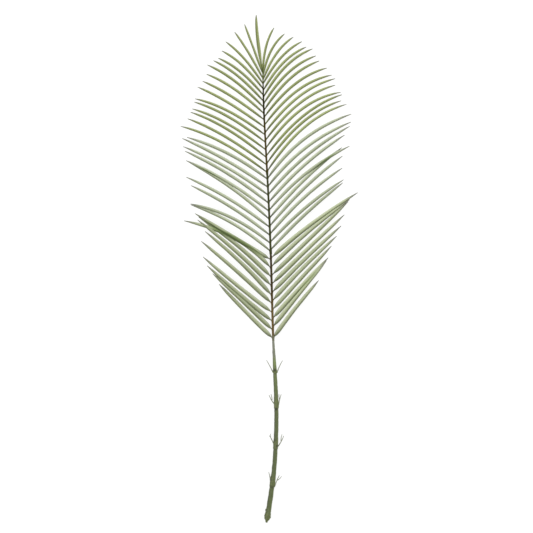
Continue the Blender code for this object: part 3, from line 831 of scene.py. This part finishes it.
def spur_way(y, aside, lean, rise):
    """The way that leans off the stalk at this y, rising a little."""
    turn = math.radians(lean)
    level = (math.cos(turn) * direction_at(y) + math.sin(turn) * aside).normalized()
    return (level + Vector((0.0, 0.0, rise))).normalized()


def prong(name, start, ahead, reach, radii, material, looks):
    """One thin prong of a spur: a fibre that is thickest at its foot, with a slight curl, narrowing
    to its tip.
    """
    side_way = ahead.cross(Vector((0, 0, 1))).normalized()
    phase = sum(map(ord, name))
    rings = []
    for step in range(SPUR_RINGS + 1):
        share = step / SPUR_RINGS
        radius = smooth_along(radii, share) * MM
        place = start + ahead * (reach * share)
        place += side_way * (looks.spur_curl * math.sin(math.pi * share) * math.sin(phase))
        flat = []
        for side in range(SPUR_FINE_SIDES):
            turn = 2 * math.pi * side / SPUR_FINE_SIDES
            flat.append(radius * (1 - SPUR_FLATTENING * math.sin(turn) ** 2))
        rings.append(round_ring(place, ahead, flat))
    seat(tube(name, rings, material), "stalk")


def spurs(material, looks):
    """The spurs at the nodes, forked or single."""
    for number, spur in enumerate(SPURS, 1):
        joint = NODES[spur.node]
        y = (joint.scar + spur.above_scar) * MM
        aside = Vector((spur.side, 0.0, 0.0))
        start = centre_at(y) + aside * (joint.swelling * SPUR_SEAT * MM)
        ahead = spur_way(y, aside, spur.lean, SPUR_RISE)
        reach = spur.reach * MM
        prong(f"spur_{number:02}", start, ahead, reach, SPUR_RADIUS, material, looks)
        if spur.fork_at is not None:
            fork = start + ahead * (reach * spur.fork_at)
            ahead = spur_way(y, aside, spur.fork_lean, FORK_RISE)
            reach = spur.fork_reach * MM
            name = f"spur_prong_{number:02}"
            prong(name, fork, ahead, reach, PRONG_RADIUS, material, looks)


def new_material(name, roughness):
    """A material with an empty Principled shader. Returns the material, its tree and the shader."""
    material = bpy.data.materials.new(name)
    material.use_nodes = True
    shader = material.node_tree.nodes["Principled BSDF"]
    shader.inputs["Roughness"].default_value = roughness
    shader.inputs["Metallic"].default_value = 0.0
    return material, material.node_tree, shader


def add_node(tree, kind, inputs=(), **settings):
    """A new node with these settings, and its inputs set or linked."""
    node = tree.nodes.new(kind)
    for name, value in settings.items():
        setattr(node, name, value)
    for name, value in dict(inputs).items():
        if isinstance(value, bpy.types.NodeSocket):
            tree.links.new(value, node.inputs[name])
        else:
            node.inputs[name].default_value = value
    return node


def maths(tree, operation, first, second=0.0):
    """The result of one sum on two numbers or sockets."""
    return add_node(tree, "ShaderNodeMath", {0: first, 1: second}, operation=operation).outputs[0]


def ranged(tree, value, low, high, to_low=0.0, to_high=1.0):
    """The value moved smoothly from one range to another, and held at its ends."""
    ends = {"From Min": low, "From Max": high, "To Min": to_low, "To Max": to_high}
    inputs = {"Value": value, **ends}
    node = add_node(tree, "ShaderNodeMapRange", inputs, interpolation_type="SMOOTHSTEP")
    return node.outputs["Result"]


def colour_line(tree, place, stops):
    """A colour that runs through (place, linear colour) stops."""
    node = add_node(tree, "ShaderNodeValToRGB", {"Fac": place})
    elements = node.color_ramp.elements
    while len(elements) < len(stops):
        elements.new(0.5)
    for element, (at, colour) in zip(elements, stops):
        element.position = at
        element.color = (*colour, 1.0)
    return node.outputs["Color"]


def mixed(tree, share, first, second, blend="MIX"):
    """Two colours mixed by a share. A colour is a socket or three linear values."""
    pair = [c if isinstance(c, bpy.types.NodeSocket) else (*c, 1.0) for c in (first, second)]
    inputs = {MIX_SHARE: share, MIX_FIRST: pair[0], MIX_SECOND: pair[1]}
    node = add_node(tree, "ShaderNodeMix", inputs, data_type="RGBA", blend_type=blend)
    return node.outputs[MIX_RESULT]


def uv_places(tree):
    """The two directions of the mesh's UV."""
    uv = add_node(tree, "ShaderNodeUVMap", uv_map="UVMap")
    split = add_node(tree, "ShaderNodeSeparateXYZ", {"Vector": uv.outputs["UV"]})
    return split.outputs["X"], split.outputs["Y"]


def mark(tree, name):
    """A number that the mesh holds for each of its points."""
    return add_node(tree, "ShaderNodeAttribute", attribute_name=name).outputs["Fac"]


def streaks(tree, first, second, third, detail=3.0):
    """Noise over these three places, which is drawn out where one of them runs slowly."""
    place = add_node(tree, "ShaderNodeCombineXYZ", {"X": first, "Y": second, "Z": third})
    inputs = {"Vector": place.outputs["Vector"], "Scale": 1.0, "Detail": detail, "Roughness": 0.6}
    return add_node(tree, "ShaderNodeTexNoise", inputs).outputs["Fac"]


def patches(tree, scale):
    """Noise of this many patches a metre."""
    place = add_node(tree, "ShaderNodeTexCoord")
    inputs = {"Vector": place.outputs["Object"], "Scale": scale, "Detail": 3.0, "Roughness": 0.55}
    return add_node(tree, "ShaderNodeTexNoise", inputs).outputs["Fac"]


def add_bump(tree, shader, height, distance, strength):
    """Fine relief on the shader, of this height."""
    inputs = {"Height": height, "Distance": distance, "Strength": strength}
    bump = add_node(tree, "ShaderNodeBump", inputs)
    tree.links.new(bump.outputs["Normal"], shader.inputs["Normal"])


def darker(colour, share):
    """The colour at this share of its brightness, which may be over 1."""
    return tuple(value * share for value in colour)


# How much of a leaf's and a rachis's light is mirrored rather than coloured
LEAF_GLOSS = 0.25
RACHIS_GLOSS = 0.02


def leaflet_material(name, finish, looks):
    """Satin leaf: painted highlight on the edge towards the frond's tip, painted shade below, fine
    long veins.
    """
    material, tree, shader = new_material(name, 0.5)
    shader.inputs["Specular IOR Level"].default_value = LEAF_GLOSS
    across, share = uv_places(tree)
    tint = mark(tree, "tint")
    body, shade, bloom = finish.body, finish.shade, finish.bloom
    dry = tuple(looks.dry_tip_colour)
    foot, neck, deep = darker(shade, 0.22), darker(shade, 0.62), darker(shade, 0.77)
    middle_stops = ((0.045, foot), (0.085, neck), (0.17, body))
    lower_stops = ((0.045, foot), (0.1, neck), (0.2, shade), (0.3, deep))
    edge_stops = ((0.04, foot), (0.075, body), (0.13, bloom))
    middle = blade_colours(tree, share, middle_stops, finish.foot_reach, dry)
    lower = blade_colours(tree, share, lower_stops, finish.foot_reach, dry)
    edge = blade_colours(tree, share, edge_stops, finish.foot_reach, dry)
    # lower is painted shade on the blade's lower half, which faces away from the light, and edge is
    # a painted highlight on its upper edge.
    colour = mixed(tree, ranged(tree, across, 0.34, 0.49), lower, middle)
    colour = mixed(tree, ranged(tree, across, 0.54, 0.86), colour, edge)
    # Painted shade: a dark line along the lower margin, strongest towards the foot.
    at_foot = ranged(tree, share, 0.4, 0.05, 0.2, 0.8)
    rim = maths(tree, "MULTIPLY", ranged(tree, across, 0.32, 0.06), at_foot)
    colour = mixed(tree, rim, colour, darker(shade, 0.3))
    at_foot = ranged(tree, share, 0.3, 0.08, 0.0, 0.6)
    upper_rim = maths(tree, "MULTIPLY", ranged(tree, across, 0.88, 0.97), at_foot)
    colour = mixed(tree, upper_rim, colour, darker(shade, 0.4))

    vein_place = maths(tree, "MULTIPLY", across, looks.vein_count)
    long_veins = streaks(tree, vein_place, share, maths(tree, "MULTIPLY", tint, 9.0))
    colour = mixed(tree, ranged(tree, long_veins, 0.5, 0.72, 0.0, 0.4), colour, darker(bloom, 1.05))
    colour = mixed(tree, ranged(tree, long_veins, 0.48, 0.3, 0.0, 0.45), colour, darker(shade, 0.8))
    blotches = ranged(tree, patches(tree, 34.0), 0.5, 0.75, 0.0, 0.3)
    colour = mixed(tree, blotches, colour, finish.blotch)
    colour = mixed(tree, ranged(tree, tint, -1.0, 1.0, 0.0, 0.4), colour, darker(shade, 0.72))
    underside = maths(tree, "MULTIPLY", mark(tree, "underside"), 0.5)
    colour = mixed(tree, underside, colour, darker(body, 0.9))
    # Painted shade where blades overlap, darkest away from the tips, where the blades lie close.
    cover = maths(tree, "MULTIPLY", mark(tree, "covered"), ranged(tree, share, 0.93, 0.75))
    cover = maths(tree, "MULTIPLY", cover, looks.overlap_shade_depth)
    colour = mixed(tree, cover, colour, tuple(looks.cover_colour), "MULTIPLY")
    tree.links.new(colour, shader.inputs["Base Color"])

    tree.links.new(ranged(tree, long_veins, 0.3, 0.7, 0.6, 0.45), shader.inputs["Roughness"])
    waves = maths(tree, "SINE", maths(tree, "MULTIPLY", across, looks.vein_count * 2 * math.pi))
    height = maths(tree, "ADD", maths(tree, "MULTIPLY", waves, 0.25), long_veins)
    add_bump(tree, shader, height, 0.12 * MM, 0.5)
    return material


def blade_colours(tree, share, foot_stops, foot_reach, dry):
    """A colour that runs along a blade, from the stops at its dark foot to its dry tip."""
    stops = [(at * foot_reach, colour) for at, colour in foot_stops]
    return colour_line(tree, share, stops + [(0.87, stops[-1][1]), (0.98, dry)])


def rachis_material(name, stops, looks):
    """Waxy fibre that runs lengthwise, with its colour changing along the section."""
    material, tree, shader = new_material(name, 0.5)
    shader.inputs["Specular IOR Level"].default_value = RACHIS_GLOSS
    around, share = uv_places(tree)
    colour = colour_line(tree, share, stops)
    fibre_place = maths(tree, "MULTIPLY", around, 14.0)
    fibres = streaks(tree, fibre_place, maths(tree, "MULTIPLY", share, 9.0), 0.0)
    pale = ranged(tree, fibres, 0.5, 0.75, 0.0, 0.45)
    colour = mixed(tree, pale, colour, tuple(looks.fibre_colour))
    dark = ranged(tree, fibres, 0.48, 0.28, 0.0, 0.5)
    colour = mixed(tree, dark, colour, darker(stops[0][1], 0.5))
    tree.links.new(colour, shader.inputs["Base Color"])
    tree.links.new(ranged(tree, fibres, 0.3, 0.7, 0.8, 0.6), shader.inputs["Roughness"])
    add_bump(tree, shader, fibres, 0.25 * MM, 0.6)
    return material


def stalk_material(looks):
    """Green bark with lengthwise grain, painted shade left, painted highlight right, dark scars and
    rough swellings.
    """
    material, tree, shader = new_material("stalk_bark", 0.55)
    around, share = uv_places(tree)
    main = tuple(looks.stalk_colour)
    neck = tuple(looks.neck_colour)
    stops = (
        (0.0, neck),
        (0.075, neck),
        (0.115, darker(main, 1.9)),
        (0.16, darker(main, 1.2)),
        (0.34, main),
        (0.42, darker(main, 0.86)),
        (0.94, darker(main, 0.84)),
        (1.0, main),
    )
    colour = colour_line(tree, share, stops)
    # Painted shade down the left side and a painted highlight along the right, as if lit from the
    # right.
    rightward = maths(tree, "ABSOLUTE", maths(tree, "SUBTRACT", around, 0.5))
    colour = mixed(tree, ranged(tree, rightward, 0.24, 0.03, 0.0, 0.55), colour, darker(main, 0.42))
    colour = mixed(tree, ranged(tree, rightward, 0.28, 0.45, 0.0, 0.5), colour, darker(main, 1.6))
    grain_place = maths(tree, "MULTIPLY", around, 12.0)
    grain = streaks(tree, grain_place, maths(tree, "MULTIPLY", share, 22.0), 0.0, 4.0)
    colour = mixed(tree, ranged(tree, grain, 0.5, 0.74, 0.0, 0.45), colour, darker(main, 1.45))
    colour = mixed(tree, ranged(tree, grain, 0.5, 0.28, 0.0, 0.5), colour, darker(main, 0.5))
    rough = ranged(tree, patches(tree, 260.0), 0.42, 0.62)
    swelling = maths(tree, "MULTIPLY", mark(tree, "swelling"), rough)
    swelling = maths(tree, "MULTIPLY", swelling, 0.6)
    colour = mixed(tree, swelling, colour, tuple(looks.swelling_colour))
    colour = mixed(tree, mark(tree, "scar"), colour, tuple(looks.scar_colour))
    tree.links.new(colour, shader.inputs["Base Color"])
    tree.links.new(ranged(tree, grain, 0.3, 0.7, 0.62, 0.45), shader.inputs["Roughness"])
    height = maths(tree, "ADD", grain, maths(tree, "MULTIPLY", patches(tree, 420.0), 0.6))
    add_bump(tree, shader, height, 0.35 * MM, 0.6)
    return material


def spur_material(looks):
    """Dry pale fibre, greener at the foot."""
    material, tree, shader = new_material("spur_fibre", 0.6)
    around, share = uv_places(tree)
    spur = tuple(looks.spur_colour)
    stops = ((0.0, tuple(looks.stalk_colour)), (0.35, spur), (0.8, spur), (1.0, darker(spur, 0.8)))
    colour = colour_line(tree, share, stops)
    fibre_place = maths(tree, "MULTIPLY", around, 5.0)
    fibres = streaks(tree, fibre_place, maths(tree, "MULTIPLY", share, 4.0), 0.0)
    colour = mixed(tree, ranged(tree, fibres, 0.45, 0.7, 0.0, 0.5), colour, darker(spur, 0.6))
    tree.links.new(colour, shader.inputs["Base Color"])
    add_bump(tree, shader, fibres, 0.2 * MM, 0.5)
    return material


def floor_material(looks):
    """White opal sheet, very slightly mottled and lit from below like a light table."""
    material, tree, shader = new_material("opal_sheet", 0.85)
    board = tuple(looks.floor_colour)
    shader.inputs["Emission Color"].default_value = (1.0, 1.0, 1.0, 1.0)
    shader.inputs["Emission Strength"].default_value = looks.floor_glow
    mottle = ranged(tree, patches(tree, 6.0), 0.3, 0.7)
    tree.links.new(mixed(tree, mottle, board, darker(board, 0.985)), shader.inputs["Base Color"])
    return material


def colour_property(name, description, colour):
    """A colour that the user may change."""
    return FloatVectorProperty(
        name=name, description=description, default=colour, size=3, subtype="COLOR", min=0.0,
        max=1.0,
    )


def length_property(name, description, size, most):
    """A small length that the user may change, with its size and its limit in mm."""
    return FloatProperty(
        name=name, description=description, default=size * MM, min=0.0, max=most * MM,
        precision=5, unit="LENGTH",
    )


def share_property(name, description, share):
    """A share from 0 to 1 that the user may change."""
    return FloatProperty(
        name=name, description=description, default=share, min=0.0, max=1.0, subtype="FACTOR"
    )


class LeafletLooks(bpy.types.PropertyGroup):
    """The shape and the colours of the leaflets"""

    fold: FloatProperty(
        name="Fold", description="How far each half of a blade drops from its midrib", default=FOLD,
        min=0.0, max=math.radians(60), subtype="ANGLE",
    )
    camber: share_property(
        "Camber", "How far each half of a blade bulges, as a share of its thickness", 0.25
    )
    ripple: length_property("Ripple", "How far a blade's margins wave up and down", 0.35, 2)
    midrib_height: length_property("Midrib", "How far the midrib stands above the blade", 0.25, 1)
    vein_count: IntProperty(
        name="Veins", description="How many fine veins run side by side along a blade", default=18,
        min=4, max=60,
    )
    tip_colour: colour_property(
        "Tip leaflets", "The leaflets of the tip section", paint(140, 150, 94)
    )
    # Each section's margin colour is painted shade on its leaflets' lower halves, and its edge
    # colour is a painted highlight on their upper edges.
    tip_shade: colour_property("Tip margin", "The lower half of a tip leaflet", paint(124, 134, 78))
    tip_bloom: colour_property("Tip edge", "The pale edge of a tip leaflet", paint(160, 169, 120))
    middle_colour: colour_property(
        "Middle leaflets", "The leaflets of the middle section", paint(157, 165, 134)
    )
    middle_shade: colour_property(
        "Middle margin", "The lower half of a middle leaflet", paint(145, 153, 124)
    )
    middle_bloom: colour_property(
        "Middle edge", "The pale edge of a middle leaflet", paint(190, 197, 172)
    )
    lower_colour: colour_property(
        "Lower leaflets", "The leaflets of the lower section", paint(154, 162, 125)
    )
    lower_shade: colour_property(
        "Lower margin", "The lower half of a lower leaflet", paint(132, 141, 104)
    )
    lower_bloom: colour_property(
        "Lower edge", "The pale edge of a lower leaflet", paint(185, 192, 162)
    )
    dry_tip_colour: colour_property("Dry tip", "The end of each leaflet", paint(108, 108, 98))
    # Painted shade where one leaflet covers another: its colour and its strength
    cover_colour: colour_property(
        "Overlap", "What a leaflet is darkened by where another covers it", (0.33, 0.45, 0.15)
    )
    overlap_shade_depth: share_property(
        "Overlap depth", "How strongly a leaflet darkens where another covers it", 0.8
    )


class RachisLooks(bpy.types.PropertyGroup):
    """The shape and the colours of the rachis"""

    fullness: FloatProperty(
        name="Fullness", description="How thick the rachis is beside its plain size", default=1.28,
        min=0.8, max=2.0,
    )
    cushion_height: length_property(
        "Cushions", "How far the rachis swells under each leaflet's foot", 0.8, 2
    )
    tip_colour: colour_property("Tip rachis", "The rachis of the tip section", paint(33, 32, 11))
    tip_foot_colour: colour_property(
        "Tip rachis foot", "The lower end of the tip section", paint(66, 54, 14)
    )
    middle_colour: colour_property(
        "Middle rachis", "The rachis of the middle section", paint(60, 64, 36)
    )
    lower_colour: colour_property(
        "Lower rachis", "The upper end of the lower section", paint(62, 52, 34)
    )
    lower_foot_colour: colour_property(
        "Lower rachis foot", "The lower end of the lower section", paint(100, 83, 50)
    )
    fibre_colour: colour_property("Fibres", "The paler fibres along the rachis", paint(80, 70, 36))


class StalkLooks(bpy.types.PropertyGroup):
    """The relief and the colours of the stalk and its spurs"""

    ridge_height: length_property("Ridges", "How far the lengthwise ridges stand out", 0.13, 1)
    lump_height: length_property("Lumps", "How uneven the bark is", 0.4, 2)
    knob_height: length_property("Knobs", "How knobbly the butt is", 1.5, 4)
    spur_curl: length_property(
        "Spur curl", "How far a spur's prong curls off its straight line", 1.2, 4
    )
    stalk_colour: colour_property("Stalk", "The bark of the stalk", paint(88, 99, 56))
    neck_colour: colour_property("Neck", "The thin top of the stalk", paint(121, 123, 108))
    scar_colour: colour_property("Scars", "The ring scars at the nodes", paint(40, 43, 18))
    swelling_colour: colour_property(
        "Swellings", "The patches on the nodes' swellings", paint(112, 118, 70)
    )
    spur_colour: colour_property("Spurs", "The dry fibre of the spurs", paint(152, 155, 140))


class StageLooks(bpy.types.PropertyGroup):
    """The floor, the lights and the lens"""

    floor_colour: colour_property("Floor", "The opal sheet that the frond lies on", (0.2, 0.2, 0.2))
    floor_size: FloatProperty(
        name="Floor size", description="The side of the square floor", default=40.0, min=2.0,
        max=80.0, unit="LENGTH",
    )
    floor_glow: FloatProperty(
        name="Floor glow", description="How strongly the floor is lit from below", default=0.84,
        min=0.0,
    )
    key_power: FloatProperty(
        name="Key light", description="Power of the softbox past the frond's tip", default=50.0,
        min=0.0, unit="POWER",
    )
    fill_power: FloatProperty(
        name="Fill light", description="Power of the overhead softbox", default=40.0, min=0.0,
        unit="POWER",
    )
    sky_strength: FloatProperty(
        name="Room light", description="Strength of the even white light from all round",
        default=0.65, min=0.0,
    )
    lens: FloatProperty(
        name="Lens", description="Focal length of the camera, in millimetres", default=135.0,
        min=35.0, max=300.0,
    )


# The linear colours of a section's leaflet material, painted shade and highlight among them, and
# how far its dark foot reaches
Finish = namedtuple("Finish", "body shade bloom blotch foot_reach")


def build_leaflets(name, blotch, foot_reach=1.0):
    """Adds the leaflets of one section, in that section's colours from the sidebar."""
    looks = bpy.context.scene.frond_leaflets
    kinds = (f"{short_name(name)}_{kind}" for kind in ("colour", "shade", "bloom"))
    finish = Finish(*(tuple(getattr(looks, kind)) for kind in kinds), blotch, foot_reach)
    material = leaflet_material(f"{name[:-1]}_skin", finish, looks)
    for plan in plan_leaflets():
        if plan.section == name:
            leaflet(plan, material, looks)


class FROND_OT_tip_leaflets(bpy.types.Operator):
    """Adds the tip section's narrow yellow-green leaflets and the terminal leaflet"""

    bl_idname = "frond.tip_leaflets"
    bl_label = "Tip leaflets"

    def execute(self, context):
        build_leaflets("tip_leaflets", paint(144, 150, 92), 1.4)
        return {"FINISHED"}


class FROND_OT_middle_leaflets(bpy.types.Operator):
    """Adds the middle section's sage leaflets, which are pale near the foot"""

    bl_idname = "frond.middle_leaflets"
    bl_label = "Middle leaflets"

    def execute(self, context):
        build_leaflets("middle_leaflets", paint(150, 158, 116))
        return {"FINISHED"}


class FROND_OT_lower_leaflets(bpy.types.Operator):
    """Adds the lower section's broad leaflets with their blunt feet"""

    bl_idname = "frond.lower_leaflets"
    bl_label = "Lower leaflets"

    def execute(self, context):
        build_leaflets("lower_leaflets", paint(148, 156, 108))
        return {"FINISHED"}


class FROND_OT_overlaps(bpy.types.Operator):
    """Marks where leaflets cover each other, so that their material gets painted shade there"""

    bl_idname = "frond.overlaps"
    bl_label = "Leaflet overlaps"

    def execute(self, context):
        mark_covered([context.scene.objects[plan.name] for plan in plan_leaflets()])
        return {"FINISHED"}


class FROND_OT_rachis(bpy.types.Operator):
    """Adds the three jointed lengths of the rachis"""

    bl_idname = "frond.rachis"
    bl_label = "Rachis"

    def execute(self, context):
        looks = context.scene.frond_rachis
        tip, tip_foot = tuple(looks.tip_colour), tuple(looks.tip_foot_colour)
        middle = tuple(looks.middle_colour)
        lower, lower_foot = tuple(looks.lower_colour), tuple(looks.lower_foot_colour)
        top, seat_grey = paint(90, 100, 50), paint(108, 108, 88)
        # A section's colours run from its lower end up.
        stops = (
            (
                (0.0, middle), (0.06, tip_foot), (0.4, tip_foot), (0.6, tip), (0.86, tip),
                (0.91, top),
            ),
            ((0.0, darker(middle, 0.8)), (0.1, middle), (1.0, darker(middle, 0.9))),
            (
                (0.045, seat_grey), (0.075, lower_foot), (0.35, lower_foot), (0.6, lower),
                (1.0, lower),
            ),
        )
        for section, colours in zip(SECTIONS, stops):
            material = rachis_material(f"{short_name(section.name)}_rachis_fibre", colours, looks)
            rachis(section, material, looks)
        return {"FINISHED"}


class FROND_OT_stalk(bpy.types.Operator):
    """Adds the jointed stalk and the knob on its butt"""

    bl_idname = "frond.stalk"
    bl_label = "Stalk"

    def execute(self, context):
        looks = context.scene.frond_stalk
        material = stalk_material(looks)
        stalk(material, looks)
        butt_knob(material)
        return {"FINISHED"}


class FROND_OT_spurs(bpy.types.Operator):
    """Adds the thin forked spurs at the stalk's nodes"""

    bl_idname = "frond.spurs"
    bl_label = "Spurs"

    def execute(self, context):
        looks = context.scene.frond_stalk
        spurs(spur_material(looks), looks)
        return {"FINISHED"}


# The studio, in metres. The camera looks straight down, with the frond's tip at the top.
VIEW_WIDTH = 1.2566
VIEW_MIDDLE = (-4.9 * MM, 5.1 * MM)
FOCUS_HEIGHT = 14 * MM
SENSOR = 36.0
KEY_PLACE = (0.9, 2.3, 2.2)
KEY_SIDE = 1.6
FILL_PLACE = (-1.4, -0.4, 3.4)
FILL_SIDE = 2.4


def softbox(name, place, side, power):
    """A square light that faces the frond's middle."""
    lamp = bpy.data.lights.new(name, "AREA")
    lamp.shape = "SQUARE"
    lamp.size = side
    lamp.energy = power
    obj = bpy.data.objects.new(name, lamp)
    obj.location = place
    obj.rotation_euler = (-Vector(place)).to_track_quat("-Z", "Y").to_euler()
    bpy.context.scene.collection.objects.link(obj)


class FROND_OT_stage(bpy.types.Operator):
    """Adds the white floor, the studio lights and the camera above the frond"""

    bl_idname = "frond.stage"
    bl_label = "Stage"

    def execute(self, context):
        looks = context.scene.frond_stage
        half = looks.floor_size / 2
        signs = ((-1, -1), (1, -1), (1, 1), (-1, 1))
        corners = [Vector((x * half, y * half, 0.0)) for x, y in signs]
        mesh = bpy.data.meshes.new("floor")
        mesh.from_pydata(corners, [], [(0, 1, 2, 3)])
        mesh.materials.append(floor_material(looks))
        floor = bpy.data.objects.new("floor", mesh)
        context.scene.collection.objects.link(floor)

        world = bpy.data.worlds.new("white_room")
        world.use_nodes = True
        background = world.node_tree.nodes["Background"]
        background.inputs["Color"].default_value = (1.0, 1.0, 1.0, 1.0)
        background.inputs["Strength"].default_value = looks.sky_strength
        context.scene.world = world
        softbox("key_softbox", KEY_PLACE, KEY_SIDE, looks.key_power)
        softbox("fill_softbox", FILL_PLACE, FILL_SIDE, looks.fill_power)

        lens = bpy.data.cameras.new("camera")
        lens.sensor_width = SENSOR
        lens.lens = looks.lens
        camera = bpy.data.objects.new("camera", lens)
        camera.location = (*VIEW_MIDDLE, FOCUS_HEIGHT + VIEW_WIDTH * looks.lens / SENSOR)
        context.scene.collection.objects.link(camera)
        context.scene.camera = camera
        context.scene.view_settings.view_transform = "Standard"
        return {"FINISHED"}


OPERATORS = (
    FROND_OT_tip_leaflets,
    FROND_OT_middle_leaflets,
    FROND_OT_lower_leaflets,
    FROND_OT_overlaps,
    FROND_OT_rachis,
    FROND_OT_stalk,
    FROND_OT_spurs,
    FROND_OT_stage,
)


class FROND_PT_panel(bpy.types.Panel):
    """Lists the frond's pieces and their settings"""

    bl_idname = "FROND_PT_panel"
    bl_label = "Palm frond"
    bl_space_type = "VIEW_3D"
    bl_region_type = "UI"
    bl_category = "Frond"

    def draw(self, context):
        for operator in OPERATORS:
            self.layout.operator(operator.bl_idname)
        for name in SETTINGS:
            box = self.layout.box()
            group = getattr(context.scene, name)
            for setting in group.bl_rna.properties:
                if setting.identifier not in ("rna_type", "name"):
                    box.prop(group, setting.identifier)


SETTINGS = {
    "frond_leaflets": LeafletLooks,
    "frond_rachis": RachisLooks,
    "frond_stalk": StalkLooks,
    "frond_stage": StageLooks,
}


def register():
    for cls in (*SETTINGS.values(), *OPERATORS, FROND_PT_panel):
        bpy.utils.register_class(cls)
    for name, group in SETTINGS.items():
        setattr(bpy.types.Scene, name, PointerProperty(type=group))


def unregister():
    for name in SETTINGS:
        delattr(bpy.types.Scene, name)
    for cls in reversed((*SETTINGS.values(), *OPERATORS, FROND_PT_panel)):
        bpy.utils.unregister_class(cls)


def main():
    """Builds the frond and its stage."""
    register()
    bpy.ops.frond.tip_leaflets()
    bpy.ops.frond.middle_leaflets()
    bpy.ops.frond.lower_leaflets()
    bpy.ops.frond.overlaps()
    bpy.ops.frond.rachis()
    bpy.ops.frond.stalk()
    bpy.ops.frond.spurs()
    bpy.ops.frond.stage()
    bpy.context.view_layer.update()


def plain(corners):
    """A box's two corners as lists of numbers."""
    return [[float(value) for value in corner] for corner in corners]


if __name__ == "__main__":
    main()
